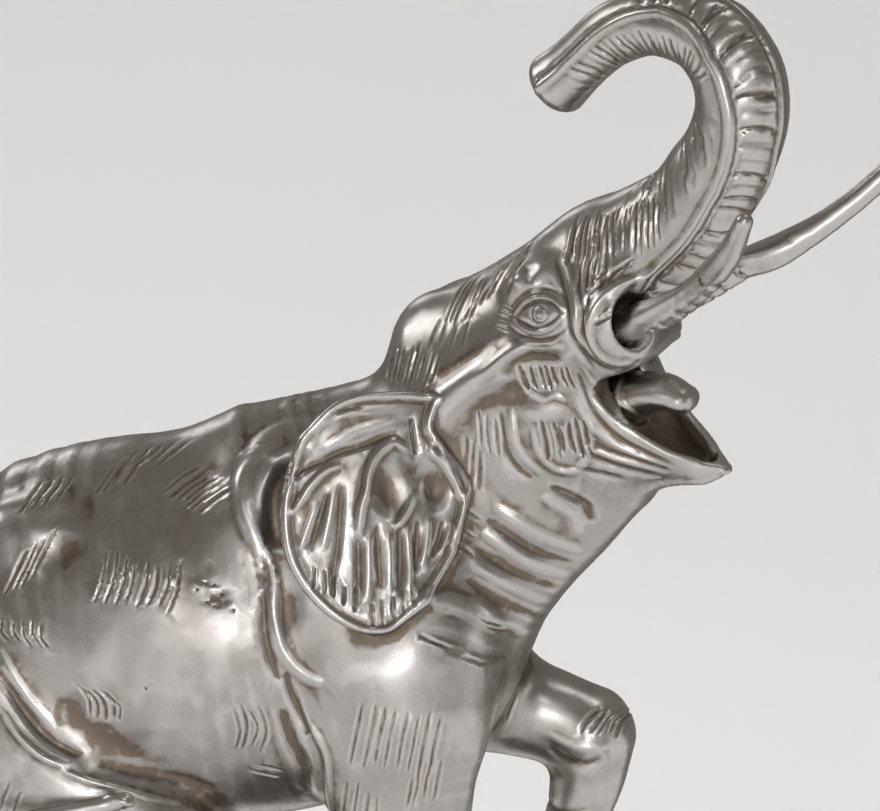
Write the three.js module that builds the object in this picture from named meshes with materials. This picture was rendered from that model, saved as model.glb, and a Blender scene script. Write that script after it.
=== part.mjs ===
// A cast bronze elephant, trumpeting: the trunk is thrown up and curled back over the head, the mouth is open,
// the left forefoot is raised, and the other three feet stand on a low rounded base.
//
// The figure is one smooth solid. It is described as limbs, each a spine with an oval section that changes along it,
// which are blended into each other as wax would be. The blended solid is then meshed and thinned out to few triangles.
//
// Millimetres. +X is the way the elephant walks, +Y its left side, +Z up. The origin is under the middle of the base.
import * as THREE from "three";

// ---------- Driving dimensions ----------

const BASE_LENGTH = 400;
const BASE_WIDTH = 196;
const BASE_HEIGHT = 20;
const BASE_BEVEL = 4;
const FOOT_GAP = 0.3; // the feet stand this far above the base, so that the two meshes never share a face
const GROUND = BASE_HEIGHT + FOOT_GAP;

const HEAD_PIVOT = new THREE.Vector3(146, 0, 411); // the middle of the skull, where the head turns on the neck
const HEAD_YAW = THREE.MathUtils.degToRad(-24); // the head is turned to the elephant's right
const HEAD_ROLL = THREE.MathUtils.degToRad(8); // and tipped over to the same side

const CELL = 4; // spacing of the grid that the solid is meshed on
const FINE_CELL = 2.4; // and its spacing about the head
const HEAD_BOX = new THREE.Box3(new THREE.Vector3(60, -160, 300), new THREE.Vector3(380, 100, 640));
const FIGURE_TRIANGLES = 9000;

const SILVERED_BRONZE = { color: 0x9a948c, roughness: 0.34, metalness: 1 };

// ---------- Smooth solids, as signed distances: below zero inside, in millimetres ----------

const mix = (a, b, t) => a + (b - a) * t;

// The union of two solids, with a fillet about k wide where they meet.
function join(a, b, k) {
  const h = Math.max(k - Math.abs(a - b), 0) / k;
  return Math.min(a, b) - (h * h * k) / 4;
}

// Solid a with solid b cut out of it, with an edge rounded by about k.
const carve = (a, b, k) => -join(-a, b, k);

// A smooth curve through rows of numbers, each column interpolated alike.
function spline(rows, perSpan) {
  const points = [];
  const at = (i) => rows[Math.min(Math.max(i, 0), rows.length - 1)];
  for (let i = 0; i < rows.length - 1; i++)
    for (let j = 0; j < perSpan; j++) points.push(blendRows(at(i - 1), at(i), at(i + 1), at(i + 2), j / perSpan));
  points.push(rows.at(-1));
  return points;
}

// Catmull-Rom interpolation between rows b and c.
function blendRows(a, b, c, d, t) {
  return b.map(
    (_, i) =>
      0.5 *
      (2 * b[i] +
        (c[i] - a[i]) * t +
        (2 * a[i] - 5 * b[i] + 4 * c[i] - d[i]) * t * t +
        (3 * b[i] - a[i] - 3 * c[i] + d[i]) * t * t * t),
  );
}

const REACH = 45; // beyond this distance from its box a limb's exact distance doesn't matter

// Distance to an ellipsoid with its centre at the origin, nearly true close to its surface.
function ovalDistance(x, y, z, rx, ry, rz) {
  const k0 = Math.sqrt((x / rx) ** 2 + (y / ry) ** 2 + (z / rz) ** 2);
  const k1 = Math.sqrt((x / rx / rx) ** 2 + (y / ry / ry) ** 2 + (z / rz / rz) ** 2);
  return k1 > 1e-9 ? (k0 * (k0 - 1)) / k1 : -Math.min(rx, ry, rz);
}

// A limb: stations are [x, y, z, half width, half depth], the width measured along side and the depth across it.
// tip stretches its rounded ends along the spine.
class Limb {
  constructor(stations, { side = [0, 1, 0], perSpan = 5, tip = 1 } = {}) {
    const rows = spline(stations, perSpan);
    this.tip = tip;
    this.spans = rows.slice(1).map((b, i) => {
      const a = rows[i];
      const along = new THREE.Vector3(b[0] - a[0], b[1] - a[1], b[2] - a[2]);
      const length = along.length();
      const tangent = along.normalize();
      const across = new THREE.Vector3(...side).addScaledVector(tangent, -tangent.dot(new THREE.Vector3(...side)));
      across.normalize();
      return { a, b, length, tangent, across, up: new THREE.Vector3().crossVectors(tangent, across) };
    });
    const low = [0, 1, 2].map((k) => Math.min(...rows.map((r) => r[k] - Math.max(r[3], r[4]))));
    const high = [0, 1, 2].map((k) => Math.max(...rows.map((r) => r[k] + Math.max(r[3], r[4]))));
    this.box = new THREE.Box3(new THREE.Vector3(...low), new THREE.Vector3(...high));
  }

  // The span nearest to p, and how far along it, from 0 to 1.
  nearest(p) {
    let best = Infinity;
    let span = null;
    let along = 0;
    for (const each of this.spans) {
      const { a, tangent, length } = each;
      const dx = p.x - a[0];
      const dy = p.y - a[1];
      const dz = p.z - a[2];
      const t = Math.min(Math.max(dx * tangent.x + dy * tangent.y + dz * tangent.z, 0), length);
      const x = dx - t * tangent.x;
      const y = dy - t * tangent.y;
      const z = dz - t * tangent.z;
      const gap = x * x + y * y + z * z;
      if (gap < best) {
        best = gap;
        span = each;
        along = t / length;
      }
    }
    return { span, along };
  }

  distance(p) {
    const toBox = this.box.distanceToPoint(p);
    if (toBox > REACH) return toBox;
    const { span, along } = this.nearest(p);
    const { a, b, tangent, across, up } = span;
    const dx = p.x - mix(a[0], b[0], along);
    const dy = p.y - mix(a[1], b[1], along);
    const dz = p.z - mix(a[2], b[2], along);
    const width = mix(a[3], b[3], along);
    const depth = mix(a[4], b[4], along);
    return ovalDistance(
      dx * across.x + dy * across.y + dz * across.z,
      dx * up.x + dy * up.y + dz * up.z,
      dx * tangent.x + dy * tangent.y + dz * tangent.z,
      width,
      depth,
      Math.min(width, depth) * this.tip,
    );
  }
}

// An ellipsoid, turned by pitch about the y axis.
class Lump {
  constructor(centre, radii, pitch = 0) {
    this.centre = new THREE.Vector3(...centre);
    this.radii = radii;
    this.cos = Math.cos(pitch);
    this.sin = Math.sin(pitch);
  }

  distance(p) {
    const dx = p.x - this.centre.x;
    const dy = p.y - this.centre.y;
    const dz = p.z - this.centre.z;
    return ovalDistance(dx * this.cos + dz * this.sin, dy, dz * this.cos - dx * this.sin, ...this.radii);
  }
}

// A curved plate, such as an ear: an outline of [back, down] points from its root, thickened, and bowed by bow(back, down).
class Plate {
  constructor({ root, splay, lean, outline, thickness, bow }) {
    this.root = new THREE.Vector3(...root);
    this.back = new THREE.Vector3(-Math.cos(splay), Math.sin(splay), 0);
    this.down = new THREE.Vector3(0, Math.sin(lean), -Math.cos(lean));
    this.down.addScaledVector(this.back, -this.back.dot(this.down)).normalize();
    this.out = new THREE.Vector3().crossVectors(this.back, this.down);
    if (this.out.y * splay < 0) this.out.negate();
    this.thickness = thickness;
    this.bow = bow;
    this.reach = Math.max(...outline.map(([back, down]) => Math.hypot(back, down))) + thickness;
    this.edge = closedCurve(outline);
  }

  distance(p) {
    const d = p.clone().sub(this.root);
    if (d.length() > this.reach + REACH) return d.length() - this.reach;
    const back = d.dot(this.back);
    const down = d.dot(this.down);
    const out = d.dot(this.out);
    const inPlane = outlineDistance(this.edge, back, down);
    const half = this.thickness / 2;
    const flat = Math.abs(out - this.bow(back, down)) - half;
    const round = half * 0.9;
    const a = inPlane + round;
    const b = flat + round;
    return Math.hypot(Math.max(a, 0), Math.max(b, 0)) + Math.min(Math.max(a, b), 0) - round;
  }
}

// A smooth closed curve through the points of an outline.
function closedCurve(outline) {
  const rows = [outline.at(-1), ...outline, outline[0], outline[1]];
  const curve = [];
  for (let i = 1; i <= outline.length; i++)
    for (let j = 0; j < 4; j++) curve.push(blendRows(rows[i - 1], rows[i], rows[i + 1], rows[i + 2], j / 4));
  return curve;
}

// Distance from (x, y) to a closed outline, below zero inside it.
function outlineDistance(edge, x, y) {
  let best = Infinity;
  let inside = false;
  for (let i = 0, j = edge.length - 1; i < edge.length; j = i++) {
    const [ax, ay] = edge[i];
    const [bx, by] = edge[j];
    const ex = bx - ax;
    const ey = by - ay;
    const t = Math.min(Math.max(((x - ax) * ex + (y - ay) * ey) / (ex * ex + ey * ey), 0), 1);
    best = Math.min(best, Math.hypot(x - ax - t * ex, y - ay - t * ey));
    if (ay > y !== by > y && x < ((bx - ax) * (y - ay)) / (by - ay) + ax) inside = !inside;
  }
  return inside ? -best : best;
}

// ---------- The body, in the part's own frame ----------

const rump = new Lump([-108, 0, 280], [68, 71, 75]);

const torso = new Limb([
  [-100, 0, 281, 77, 80],
  [-66, 0, 288, 83, 88],
  [-22, 0, 291, 88, 94],
  [24, 0, 293, 86, 96],
  [60, 0, 300, 77, 97],
  [90, 0, 312, 64, 92],
]);

const neck = new Limb([
  [70, 0, 326, 60, 84],
  [110, -2, 352, 50, 68],
  [148, -6, 392, 46, 54],
]);

// The front of the neck, from the chest up to the chin.
const throat = new Limb([
  [118, 0, 284, 44, 36],
  [146, -3, 328, 42, 34],
  [176, -10, 364, 36, 34],
  [205, -18, 390, 28, 28],
]);

const shoulderRight = new Limb([
  [76, -42, 370, 18, 32],
  [98, -45, 318, 25, 48],
  [106, -47, 262, 29, 46],
]);

const shoulderLeft = new Limb([
  [80, 42, 370, 18, 32],
  [104, 46, 318, 26, 46],
  [120, 45, 268, 29, 38],
]);

const foreRight = new Limb([
  [104, -47, 285, 31, 48],
  [110, -47, 243, 29, 43],
  [113, -46, 208, 27, 35],
  [113, -45, 164, 25, 31],
  [112, -43, 122, 25, 29],
  [110, -42, 74, 24, 27],
  [110, -42, 42, 26, 30],
  [112, -42, 8, 28, 32],
]);

const foreLeft = new Limb([
  [112, 42, 262, 27, 36],
  [142, 44, 253, 25, 28],
  [170, 45, 246, 23, 25],
  [195, 45, 238, 22, 24],
]);

const shinLeft = new Limb([
  [196, 45, 232, 21, 23],
  [194, 45, 213, 19, 20],
  [187, 45, 190, 17, 15],
  [179, 45, 168, 17, 15],
  [171, 45, 146, 22, 21],
]);

const hindRight = new Limb([
  [-118, -36, 296, 28, 56],
  [-92, -50, 254, 36, 50],
  [-58, -56, 224, 34, 42],
  [-26, -56, 200, 31, 37],
  [-2, -53, 174, 27, 33],
  [4, -50, 146, 24, 29],
  [-4, -46, 108, 22, 25],
  [-14, -43, 70, 22, 25],
  [-10, -42, 42, 25, 29],
  [-5, -42, 8, 28, 32],
]);

const hindLeft = new Limb([
  [-112, 40, 306, 30, 56],
  [-118, 48, 250, 33, 46],
  [-120, 48, 204, 28, 36],
  [-130, 45, 158, 24, 28],
  [-145, 43, 108, 22, 24],
  [-149, 42, 70, 22, 24],
  [-143, 42, 42, 24, 28],
  [-140, 42, 8, 27, 31],
]);

// The tail hangs from the rump and swings forward round the right thigh.
const tail = new Limb([
  [-168, 0, 304, 11, 12],
  [-192, -8, 284, 8, 8],
  [-192, -44, 244, 6, 6],
  [-158, -84, 210, 5.5, 5.5],
  [-108, -102, 200, 5, 5],
  [-58, -102, 213, 5.5, 5.5],
  [-16, -99, 223, 4, 4],
]);

const hipRight = new Lump([-78, -56, 346], [24, 13, 16], 0.3);
const hipLeft = new Lump([-84, 56, 346], [24, 13, 16], 0.3);
const bladeRight = new Lump([38, -54, 356], [12, 11, 32], -0.3);
const bladeLeft = new Lump([38, 54, 356], [12, 11, 32], -0.3);

function bodyDistance(p) {
  let d = join(torso.distance(p), rump.distance(p), 20);
  d = join(d, neck.distance(p), 36);
  d = join(d, throat.distance(p), 30);
  d = join(d, shoulderRight.distance(p), 24);
  d = join(d, shoulderLeft.distance(p), 24);
  d = join(d, hipRight.distance(p), 20);
  d = join(d, hipLeft.distance(p), 20);
  d = join(d, bladeRight.distance(p), 20);
  d = join(d, bladeLeft.distance(p), 20);
  d = join(d, foreRight.distance(p), 20);
  d = join(d, hindRight.distance(p), 14);
  d = join(d, hindLeft.distance(p), 18);
  d = join(d, join(foreLeft.distance(p), shinLeft.distance(p), 8), 20);
  d = join(d, tail.distance(p), 8);
  return d;
}

// ---------- The head, in its own frame: x forward, y to its left, z up from the pivot ----------

const skullAndTrunk = new Limb([
  [-14, 0, 27, 43, 30],
  [33, 0, 46, 40, 31],
  [78, 0, 73, 33, 33],
  [104, 0, 88, 27, 29],
  [127, 0, 103, 24, 26],
  [140, 0, 119, 23, 24],
  [154, 0, 139, 22, 22],
  [160, 0, 160, 21, 21],
  [155.5, 0, 179, 20, 20.5],
  [140.5, 0, 192.5, 18, 18.5],
  [115, 0, 197, 16, 16],
  [92, 0, 191.5, 14, 14.5],
  [77.5, 0, 182, 13.5, 13.5],
  [66, 0, 172, 14, 14],
  [58, 0, 164.5, 17, 16],
], { tip: 0.6 });

const cheek = new Limb([
  [8, 0, -2, 43, 34],
  [44, 0, 2, 39, 34],
  [74, 0, 10, 29, 28],
]);

const face = new Limb([
  [20, 0, 24, 43, 34],
  [56, 0, 36, 40, 32],
  [84, 0, 50, 34, 24],
]);

const jaw = new Limb([
  [60, 0, 12, 33, 40],
  [84, 0, 10, 29, 40],
  [100, 0, 1, 25, 36],
  [116, 0, -11, 19, 24],
  [126, 0, -17, 13, 13.5],
  [134, 0, -20.5, 8, 8],
  [138, 0, -22.5, 5, 5],
]);

// The gap between the lips, seen from the side: an outline of [x, z] points, cut right through.
const GAPE_OUTLINE = [
  [85, 22],
  [92, 10],
  [100, 1.5],
  [108, -5],
  [116, -10.5],
  [126, -16],
  [136, -20.5],
  [150, -26],
  [180, -20],
  [180, 40],
  [124, 42],
  [110, 35],
  [98, 31],
  [89, 28],
];
const gapeEdge = closedCurve(GAPE_OUTLINE);

// The hollow of the lower jaw, and the throat behind it.
const channel = new Limb([
  [70, 0, 16, 14, 14],
  [88, 0, 10, 17, 18],
  [101, 0, -2, 18, 17],
  [116, 0, -12, 12, 10.5],
  [127, 0, -18.5, 6, 5.5],
]);

const tongue = new Limb([
  [70, 0, 6, 15, 11],
  [90, 0, 10, 15, 11],
  [105, 0, 12.5, 14, 9.5],
  [117, 0, 9.5, 11, 7],
]);

// The parts below are one of a pair: they are made on the head's left and mirrored.
const dome = new Lump([-20, 16, 34], [26, 20, 21], 0.6);
const brow = new Lump([55, 31, 73], [15, 9, 7], 0.5);
const cheekbone = new Lump([38, 36, 30], [24, 10, 8], 0.7);
const sheath = new Limb([
  [60, 16, 58, 18, 22],
  [82, 23, 55, 17, 22],
  [96, 26.5, 54, 16, 20],
  [104, 28, 55, 13, 16],
], { tip: 0.6 });
const socket = new Limb([
  [97, 27, 52, 8, 10],
  [106, 28.5, 54, 11, 13],
  [118, 31, 58, 12, 15],
]);
// The rolled fold of skin that runs from the cheekbone down to the front of the ear.
const earFold = new Limb([
  [48, 40, 38, 5, 5],
  [36, 44, 30, 6, 6],
  [24, 47, 23, 6, 6],
  [10, 50, 11, 6, 6],
  [3, 52, -3, 6, 6],
  [4, 51, -18, 6, 6],
  [10, 48, -34, 5, 5],
]);
const eye = new Lump([62, 36, 60], [9, 5, 6], 0.4);

const tuskRight = new Limb([
  [88, -24, 46.5, 8, 8],
  [111, -27, 55, 8, 8],
  [131.6, -32, 64, 7.8, 7.8],
  [153.4, -40, 78, 7.2, 7.2],
  [177.6, -54, 98, 6.2, 6.2],
  [194, -66, 118, 4.4, 4.4],
]);
const tuskLeft = new Limb([
  [88, 24, 46.5, 8, 8],
  [113, 26.5, 57, 8, 8],
  [134, 33, 69, 7.8, 7.8],
  [157, 42, 79.5, 7.4, 7.4],
  [178.5, 55, 93, 6.4, 6.4],
  [196.5, 66, 108.5, 5.2, 5.2],
  [206, 72, 120, 4, 4],
]);

const EAR_OUTLINE = [
  [1, 0],
  [14, -4],
  [27, -6],
  [42, -7],
  [55, -4],
  [70, 7],
  [78, 20],
  [85, 39],
  [87, 58],
  [85, 73],
  [79, 87],
  [69, 100],
  [57, 109],
  [44, 111],
  [33, 105],
  [22, 97],
  [12, 87],
  [3, 76],
  [-3, 62],
  [-8, 48],
  [-6, 38],
  [-1, 30],
  [4, 21],
  [7, 14],
  [3, 4],
];
const earOn = (side, splay) =>
  new Plate({
    root: [8, side * 50, 16],
    splay: side * splay,
    lean: side * 0.35,
    outline: EAR_OUTLINE,
    thickness: 7,
    bow: (back, down) => 3 - 0.004 * (back - 30) ** 2,
  });
const earRight = earOn(-1, THREE.MathUtils.degToRad(50));
const earLeft = earOn(1, THREE.MathUtils.degToRad(38));

const toHead = new THREE.Matrix4()
  .makeTranslation(HEAD_PIVOT)
  .multiply(new THREE.Matrix4().makeRotationZ(HEAD_YAW))
  .multiply(new THREE.Matrix4().makeRotationX(HEAD_ROLL))
  .invert();
const HEAD_REACH = 300;

function headDistance(p) {
  const mirrored = p.clone().setY(Math.abs(p.y));
  let d = skullAndTrunk.distance(p);
  d = join(d, face.distance(p), 16);
  d = join(d, cheek.distance(p), 20);
  d = join(d, jaw.distance(p), 14);
  d = join(d, dome.distance(mirrored), 12);
  d = join(d, brow.distance(mirrored), 8);
  d = join(d, cheekbone.distance(mirrored), 10);
  d = join(d, sheath.distance(mirrored), 18);
  d = carve(d, outlineDistance(gapeEdge, p.x, p.z), 3);
  d = carve(d, channel.distance(p), 3);
  d = carve(d, socket.distance(mirrored), 4);
  d = join(d, tongue.distance(p), 5);
  d = join(d, tuskRight.distance(p), 2);
  d = join(d, tuskLeft.distance(p), 2);
  d = join(d, eye.distance(mirrored), 2);
  d = join(d, earFold.distance(mirrored), 7);
  return d;
}

// The whole figure, cut off flat where its feet meet the base.
function figureDistance(p) {
  let d = bodyDistance(p);
  const inHead = p.clone().applyMatrix4(toHead);
  if (inHead.length() < HEAD_REACH) {
    d = join(d, headDistance(inHead), 24);
    d = join(d, earRight.distance(inHead), 5);
    d = join(d, earLeft.distance(inHead), 5);
  }
  return Math.max(d, GROUND - p.z);
}

// ---------- Meshing by marching tetrahedra ----------

// Each grid cube is six tetrahedra round its diagonal from corner 0 to corner 7. A corner's bits are its x, y and z steps.
const TETRAHEDRA = [
  [0, 1, 3, 7],
  [0, 3, 2, 7],
  [0, 2, 6, 7],
  [0, 6, 4, 7],
  [0, 4, 5, 7],
  [0, 5, 1, 7],
];
// For the corners of a tetrahedron that are inside, as bits: the corners reordered, without mirroring, so that the inside
// ones come first, or the single outside one does.
const ORDERS = {
  1: [0, 1, 2, 3],
  2: [1, 0, 3, 2],
  4: [2, 0, 1, 3],
  8: [3, 0, 2, 1],
  3: [0, 1, 2, 3],
  5: [0, 2, 3, 1],
  9: [0, 3, 1, 2],
  6: [1, 2, 0, 3],
  10: [1, 3, 2, 0],
  12: [2, 3, 0, 1],
  14: [0, 1, 2, 3],
  13: [1, 0, 3, 2],
  11: [2, 0, 1, 3],
  7: [3, 0, 2, 1],
};
const BLOCK = 5; // cubes on a side of the blocks that are skipped when the surface is far from them

// The places of the grid's planes from low to high, closer together between fineLow and fineHigh.
function planes(low, high, fineLow, fineHigh) {
  const places = [low];
  while (places.at(-1) < high) {
    const last = places.at(-1);
    places.push(last + (last >= fineLow && last < fineHigh ? FINE_CELL : CELL));
  }
  return places;
}

// Samples distance where the planes cross, skipping blocks that are far from the surface.
function sampleGrid(distance, [xs, ys, zs]) {
  const values = new Float32Array(xs.length * ys.length * zs.length).fill(1);
  const p = new THREE.Vector3();
  const low = new THREE.Vector3();
  const high = new THREE.Vector3();
  const end = (start, places) => Math.min(start + BLOCK, places.length);
  for (let k0 = 0; k0 < zs.length; k0 += BLOCK)
    for (let j0 = 0; j0 < ys.length; j0 += BLOCK)
      for (let i0 = 0; i0 < xs.length; i0 += BLOCK) {
        const [i1, j1, k1] = [end(i0, xs), end(j0, ys), end(k0, zs)];
        low.set(xs[i0], ys[j0], zs[k0]);
        high.set(xs[i1 - 1], ys[j1 - 1], zs[k1 - 1]);
        const middle = distance(p.addVectors(low, high).divideScalar(2));
        const far = Math.abs(middle) > 0.8 * low.distanceTo(high);
        for (let k = k0; k < k1; k++)
          for (let j = j0; j < j1; j++)
            for (let i = i0; i < i1; i++) {
              const index = (k * ys.length + j) * xs.length + i;
              values[index] = far ? middle : distance(p.set(xs[i], ys[j], zs[k]));
            }
      }
  return values;
}

// The surface where distance is zero, as { points, faces }: a closed mesh whose faces point out.
function meshOf(distance, box) {
  const grid = ["x", "y", "z"].map((axis) => planes(box.min[axis], box.max[axis], HEAD_BOX.min[axis], HEAD_BOX.max[axis]));
  const [xs, ys, zs] = grid;
  const [nx, ny, nz] = grid.map((places) => places.length);
  const values = sampleGrid(distance, grid);
  const points = [];
  const faces = [];
  const made = new Map();
  const place = (index) =>
    new THREE.Vector3(xs[index % nx], ys[Math.floor(index / nx) % ny], zs[Math.floor(index / (nx * ny))]);
  const crossing = (a, b) => {
    const key = Math.min(a, b) * values.length + Math.max(a, b);
    if (!made.has(key)) {
      const t = Math.min(Math.max(values[a] / (values[a] - values[b]), 0.02), 0.98);
      made.set(key, points.push(place(a).lerp(place(b), t)) - 1);
    }
    return made.get(key);
  };
  const step = (corner) => (corner & 1) + ((corner >> 1) & 1) * nx + ((corner >> 2) & 1) * nx * ny;
  const steps = [0, 1, 2, 3, 4, 5, 6, 7].map(step);
  for (let k = 0; k < nz - 1; k++)
    for (let j = 0; j < ny - 1; j++)
      for (let i = 0; i < nx - 1; i++) {
        const cube = (k * ny + j) * nx + i;
        const insideCorners = steps.filter((s) => values[cube + s] < 0).length;
        if (insideCorners === 0 || insideCorners === 8) continue;
        for (const tetrahedron of TETRAHEDRA) {
          const corners = tetrahedron.map((c) => cube + steps[c]);
          const inside = corners.reduce((bits, c, n) => bits | ((values[c] < 0) << n), 0);
          if (inside === 0 || inside === 15) continue;
          const [a, b, c, d] = ORDERS[inside].map((n) => corners[n]);
          const count = corners.filter((corner) => values[corner] < 0).length;
          if (count === 1) faces.push([crossing(a, b), crossing(a, c), crossing(a, d)]);
          else if (count === 3) faces.push([crossing(a, b), crossing(a, d), crossing(a, c)]);
          else {
            const [ac, ad, bd, bc] = [crossing(a, c), crossing(a, d), crossing(b, d), crossing(b, c)];
            faces.push([ac, ad, bd], [ac, bd, bc]);
          }
        }
      }
  return { points, faces };
}

// ---------- Thinning out: the cheapest edges are collapsed, by Garland and Heckbert's quadric error ----------

// A quadric is the ten numbers of a symmetric 4 by 4 matrix: the sum of squared distances to planes.
const planeQuadric = ({ normal: { x, y, z }, constant: w }, weight) =>
  [x * x, x * y, x * z, x * w, y * y, y * z, y * w, z * z, z * w, w * w].map((v) => v * weight);

function quadricError(q, { x, y, z }) {
  return (
    q[0] * x * x + q[4] * y * y + q[7] * z * z + q[9] +
    2 * (q[1] * x * y + q[2] * x * z + q[5] * y * z + q[3] * x + q[6] * y + q[8] * z)
  );
}

// Where a collapsed edge's vertex goes: the point of least error, or the edge's middle where that isn't well defined.
function bestPoint(q, a, b) {
  const x = (a.x + b.x) / 2;
  const y = (a.y + b.y) / 2;
  const z = (a.z + b.z) / 2;
  const [c00, c01, c02] = [q[4] * q[7] - q[5] * q[5], q[2] * q[5] - q[1] * q[7], q[1] * q[5] - q[2] * q[4]];
  const [c11, c12, c22] = [q[0] * q[7] - q[2] * q[2], q[1] * q[2] - q[0] * q[5], q[0] * q[4] - q[1] * q[1]];
  const determinant = q[0] * c00 + q[1] * c01 + q[2] * c02;
  const size = q[0] + q[4] + q[7];
  const best = new THREE.Vector3(x, y, z);
  if (determinant < 1e-4 * size * size * size) return best;
  // The error's slope at the middle, and the step that takes it to zero.
  const gx = q[0] * x + q[1] * y + q[2] * z + q[3];
  const gy = q[1] * x + q[4] * y + q[5] * z + q[6];
  const gz = q[2] * x + q[5] * y + q[7] * z + q[8];
  const dx = -(c00 * gx + c01 * gy + c02 * gz) / determinant;
  const dy = -(c01 * gx + c11 * gy + c12 * gz) / determinant;
  const dz = -(c02 * gx + c12 * gy + c22 * gz) / determinant;
  if (dx * dx + dy * dy + dz * dz > a.distanceToSquared(b)) return best;
  return best.set(x + dx, y + dy, z + dz);
}

// A binary heap of rows, the one of least cost first.
class Heap {
  rows = [];

  push(row) {
    let i = this.rows.push(row) - 1;
    while (i > 0) {
      const parent = (i - 1) >> 1;
      if (this.rows[parent].cost <= row.cost) break;
      this.rows[i] = this.rows[parent];
      i = parent;
    }
    this.rows[i] = row;
  }

  pop() {
    const top = this.rows[0];
    const last = this.rows.pop();
    const count = this.rows.length;
    if (!count) return top;
    let i = 0;
    for (;;) {
      let child = 2 * i + 1;
      if (child >= count) break;
      if (child + 1 < count && this.rows[child + 1].cost < this.rows[child].cost) child++;
      if (this.rows[child].cost >= last.cost) break;
      this.rows[i] = this.rows[child];
      i = child;
    }
    this.rows[i] = last;
    return top;
  }
}

// Collapses edges until target faces are left.
function thinOut({ points, faces }, target) {
  const quadrics = points.map(() => new Float64Array(10));
  const around = points.map(() => []); // the faces round each point
  const stamps = new Uint32Array(points.length); // how many times each point has changed
  const alive = faces.map(() => true);
  const plane = new THREE.Plane();
  const triangle = new THREE.Triangle();
  faces.forEach((face, f) => {
    triangle.set(...face.map((v) => points[v]));
    const area = triangle.getArea();
    const q = area > 0 ? planeQuadric(triangle.getPlane(plane), area) : [];
    for (const v of face) {
      q.forEach((value, i) => (quadrics[v][i] += value));
      around[v].push(f);
    }
  });

  const heap = new Heap();
  const sum = new Float64Array(10);
  const offer = (a, b) => {
    for (let i = 0; i < 10; i++) sum[i] = quadrics[a][i] + quadrics[b][i];
    const at = bestPoint(sum, points[a], points[b]);
    // The small second term keeps triangles even on flat ground.
    const cost = quadricError(sum, at) + 1e-4 * points[a].distanceToSquared(points[b]);
    heap.push({ cost, a, b, stampA: stamps[a], stampB: stamps[b], at });
  };
  const neighbours = (v) => {
    const found = [];
    for (const f of around[v]) for (const n of faces[f]) if (n !== v && !found.includes(n)) found.push(n);
    return found;
  };
  for (const [a, b, c] of faces) for (const [m, n] of [[a, b], [b, c], [c, a]]) if (m < n) offer(m, n);

  // Whether moving v to at turns one of its faces over, other than those that the collapse removes.
  const before = new THREE.Vector3();
  const after = new THREE.Vector3();
  const flips = (v, other, at) =>
    around[v].some((f) => {
      const [a, b, c] = faces[f];
      if (a === other || b === other || c === other) return false;
      triangle.set(points[a], points[b], points[c]).getNormal(before);
      triangle.set(a === v ? at : points[a], b === v ? at : points[b], c === v ? at : points[c]).getNormal(after);
      return before.dot(after) < 0.3;
    });

  let left = faces.length;
  while (left > target && heap.rows.length) {
    const { a, b, stampA, stampB, at } = heap.pop();
    if (stamps[a] !== stampA || stamps[b] !== stampB) continue;
    const besideB = neighbours(b);
    const shared = neighbours(a).filter((n) => besideB.includes(n));
    if (shared.length !== 2 || flips(a, b, at) || flips(b, a, at)) continue;
    for (const f of around[b]) {
      if (faces[f].includes(a)) {
        alive[f] = false;
        left--;
        for (const v of faces[f]) if (v !== b) around[v].splice(around[v].indexOf(f), 1);
      } else {
        faces[f] = faces[f].map((v) => (v === b ? a : v));
        around[a].push(f);
      }
    }
    around[b] = [];
    points[a] = at;
    for (let i = 0; i < 10; i++) quadrics[a][i] += quadrics[b][i];
    stamps[a]++;
    stamps[b]++;
    for (const n of neighbours(a)) offer(a, n);
  }
  const kept = faces.filter((_, f) => alive[f]);
  const used = [...new Set(kept.flat())];
  const place = new Map(used.map((v, i) => [v, i]));
  return { points: used.map((v) => points[v]), faces: kept.map((face) => face.map((v) => place.get(v))) };
}

// ---------- The two pieces ----------

// Moves p onto the surface where distance is zero.
function settle(p, distance) {
  const step = 0.2;
  for (let round = 0; round < 2; round++) {
    const d = distance(p);
    const slope = new THREE.Vector3(
      distance(p.clone().setX(p.x + step)) - d,
      distance(p.clone().setY(p.y + step)) - d,
      distance(p.clone().setZ(p.z + step)) - d,
    ).divideScalar(step);
    const move = slope.multiplyScalar(-d / Math.max(slope.lengthSq(), 0.1));
    p.add(move.clampLength(0, CELL / 2));
  }
}

function figureGeometry() {
  const box = new THREE.Box3(new THREE.Vector3(-210, -175, GROUND - 9), new THREE.Vector3(400, 165, 650));
  const { points, faces } = thinOut(meshOf(figureDistance, box), FIGURE_TRIANGLES);
  for (const p of points) settle(p, figureDistance);
  const geometry = new THREE.BufferGeometry();
  const flat = points.flatMap((p) => [p.x, p.y, p.z < GROUND + 1 ? GROUND : p.z]);
  geometry.setAttribute("position", new THREE.Float32BufferAttribute(flat, 3));
  geometry.setIndex(faces.flat());
  return geometry;
}

// A low slab with round ends, its top and bottom edges bevelled.
function baseGeometry() {
  const radius = BASE_WIDTH / 2 - BASE_BEVEL;
  const reach = BASE_LENGTH / 2 - BASE_WIDTH / 2;
  const outline = new THREE.Shape();
  outline.absarc(reach, 0, radius, -Math.PI / 2, Math.PI / 2);
  outline.absarc(-reach, 0, radius, Math.PI / 2, (3 * Math.PI) / 2);
  const geometry = new THREE.ExtrudeGeometry(outline, {
    depth: BASE_HEIGHT - 2 * BASE_BEVEL,
    bevelSize: BASE_BEVEL,
    bevelThickness: BASE_BEVEL,
    bevelSegments: 2,
    curveSegments: 16,
  });
  return geometry.translate(0, 0, BASE_BEVEL);
}

function piece(name, geometry) {
  const mesh = new THREE.Mesh(geometry, new THREE.MeshStandardMaterial(SILVERED_BRONZE));
  mesh.name = name;
  return mesh;
}

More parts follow.
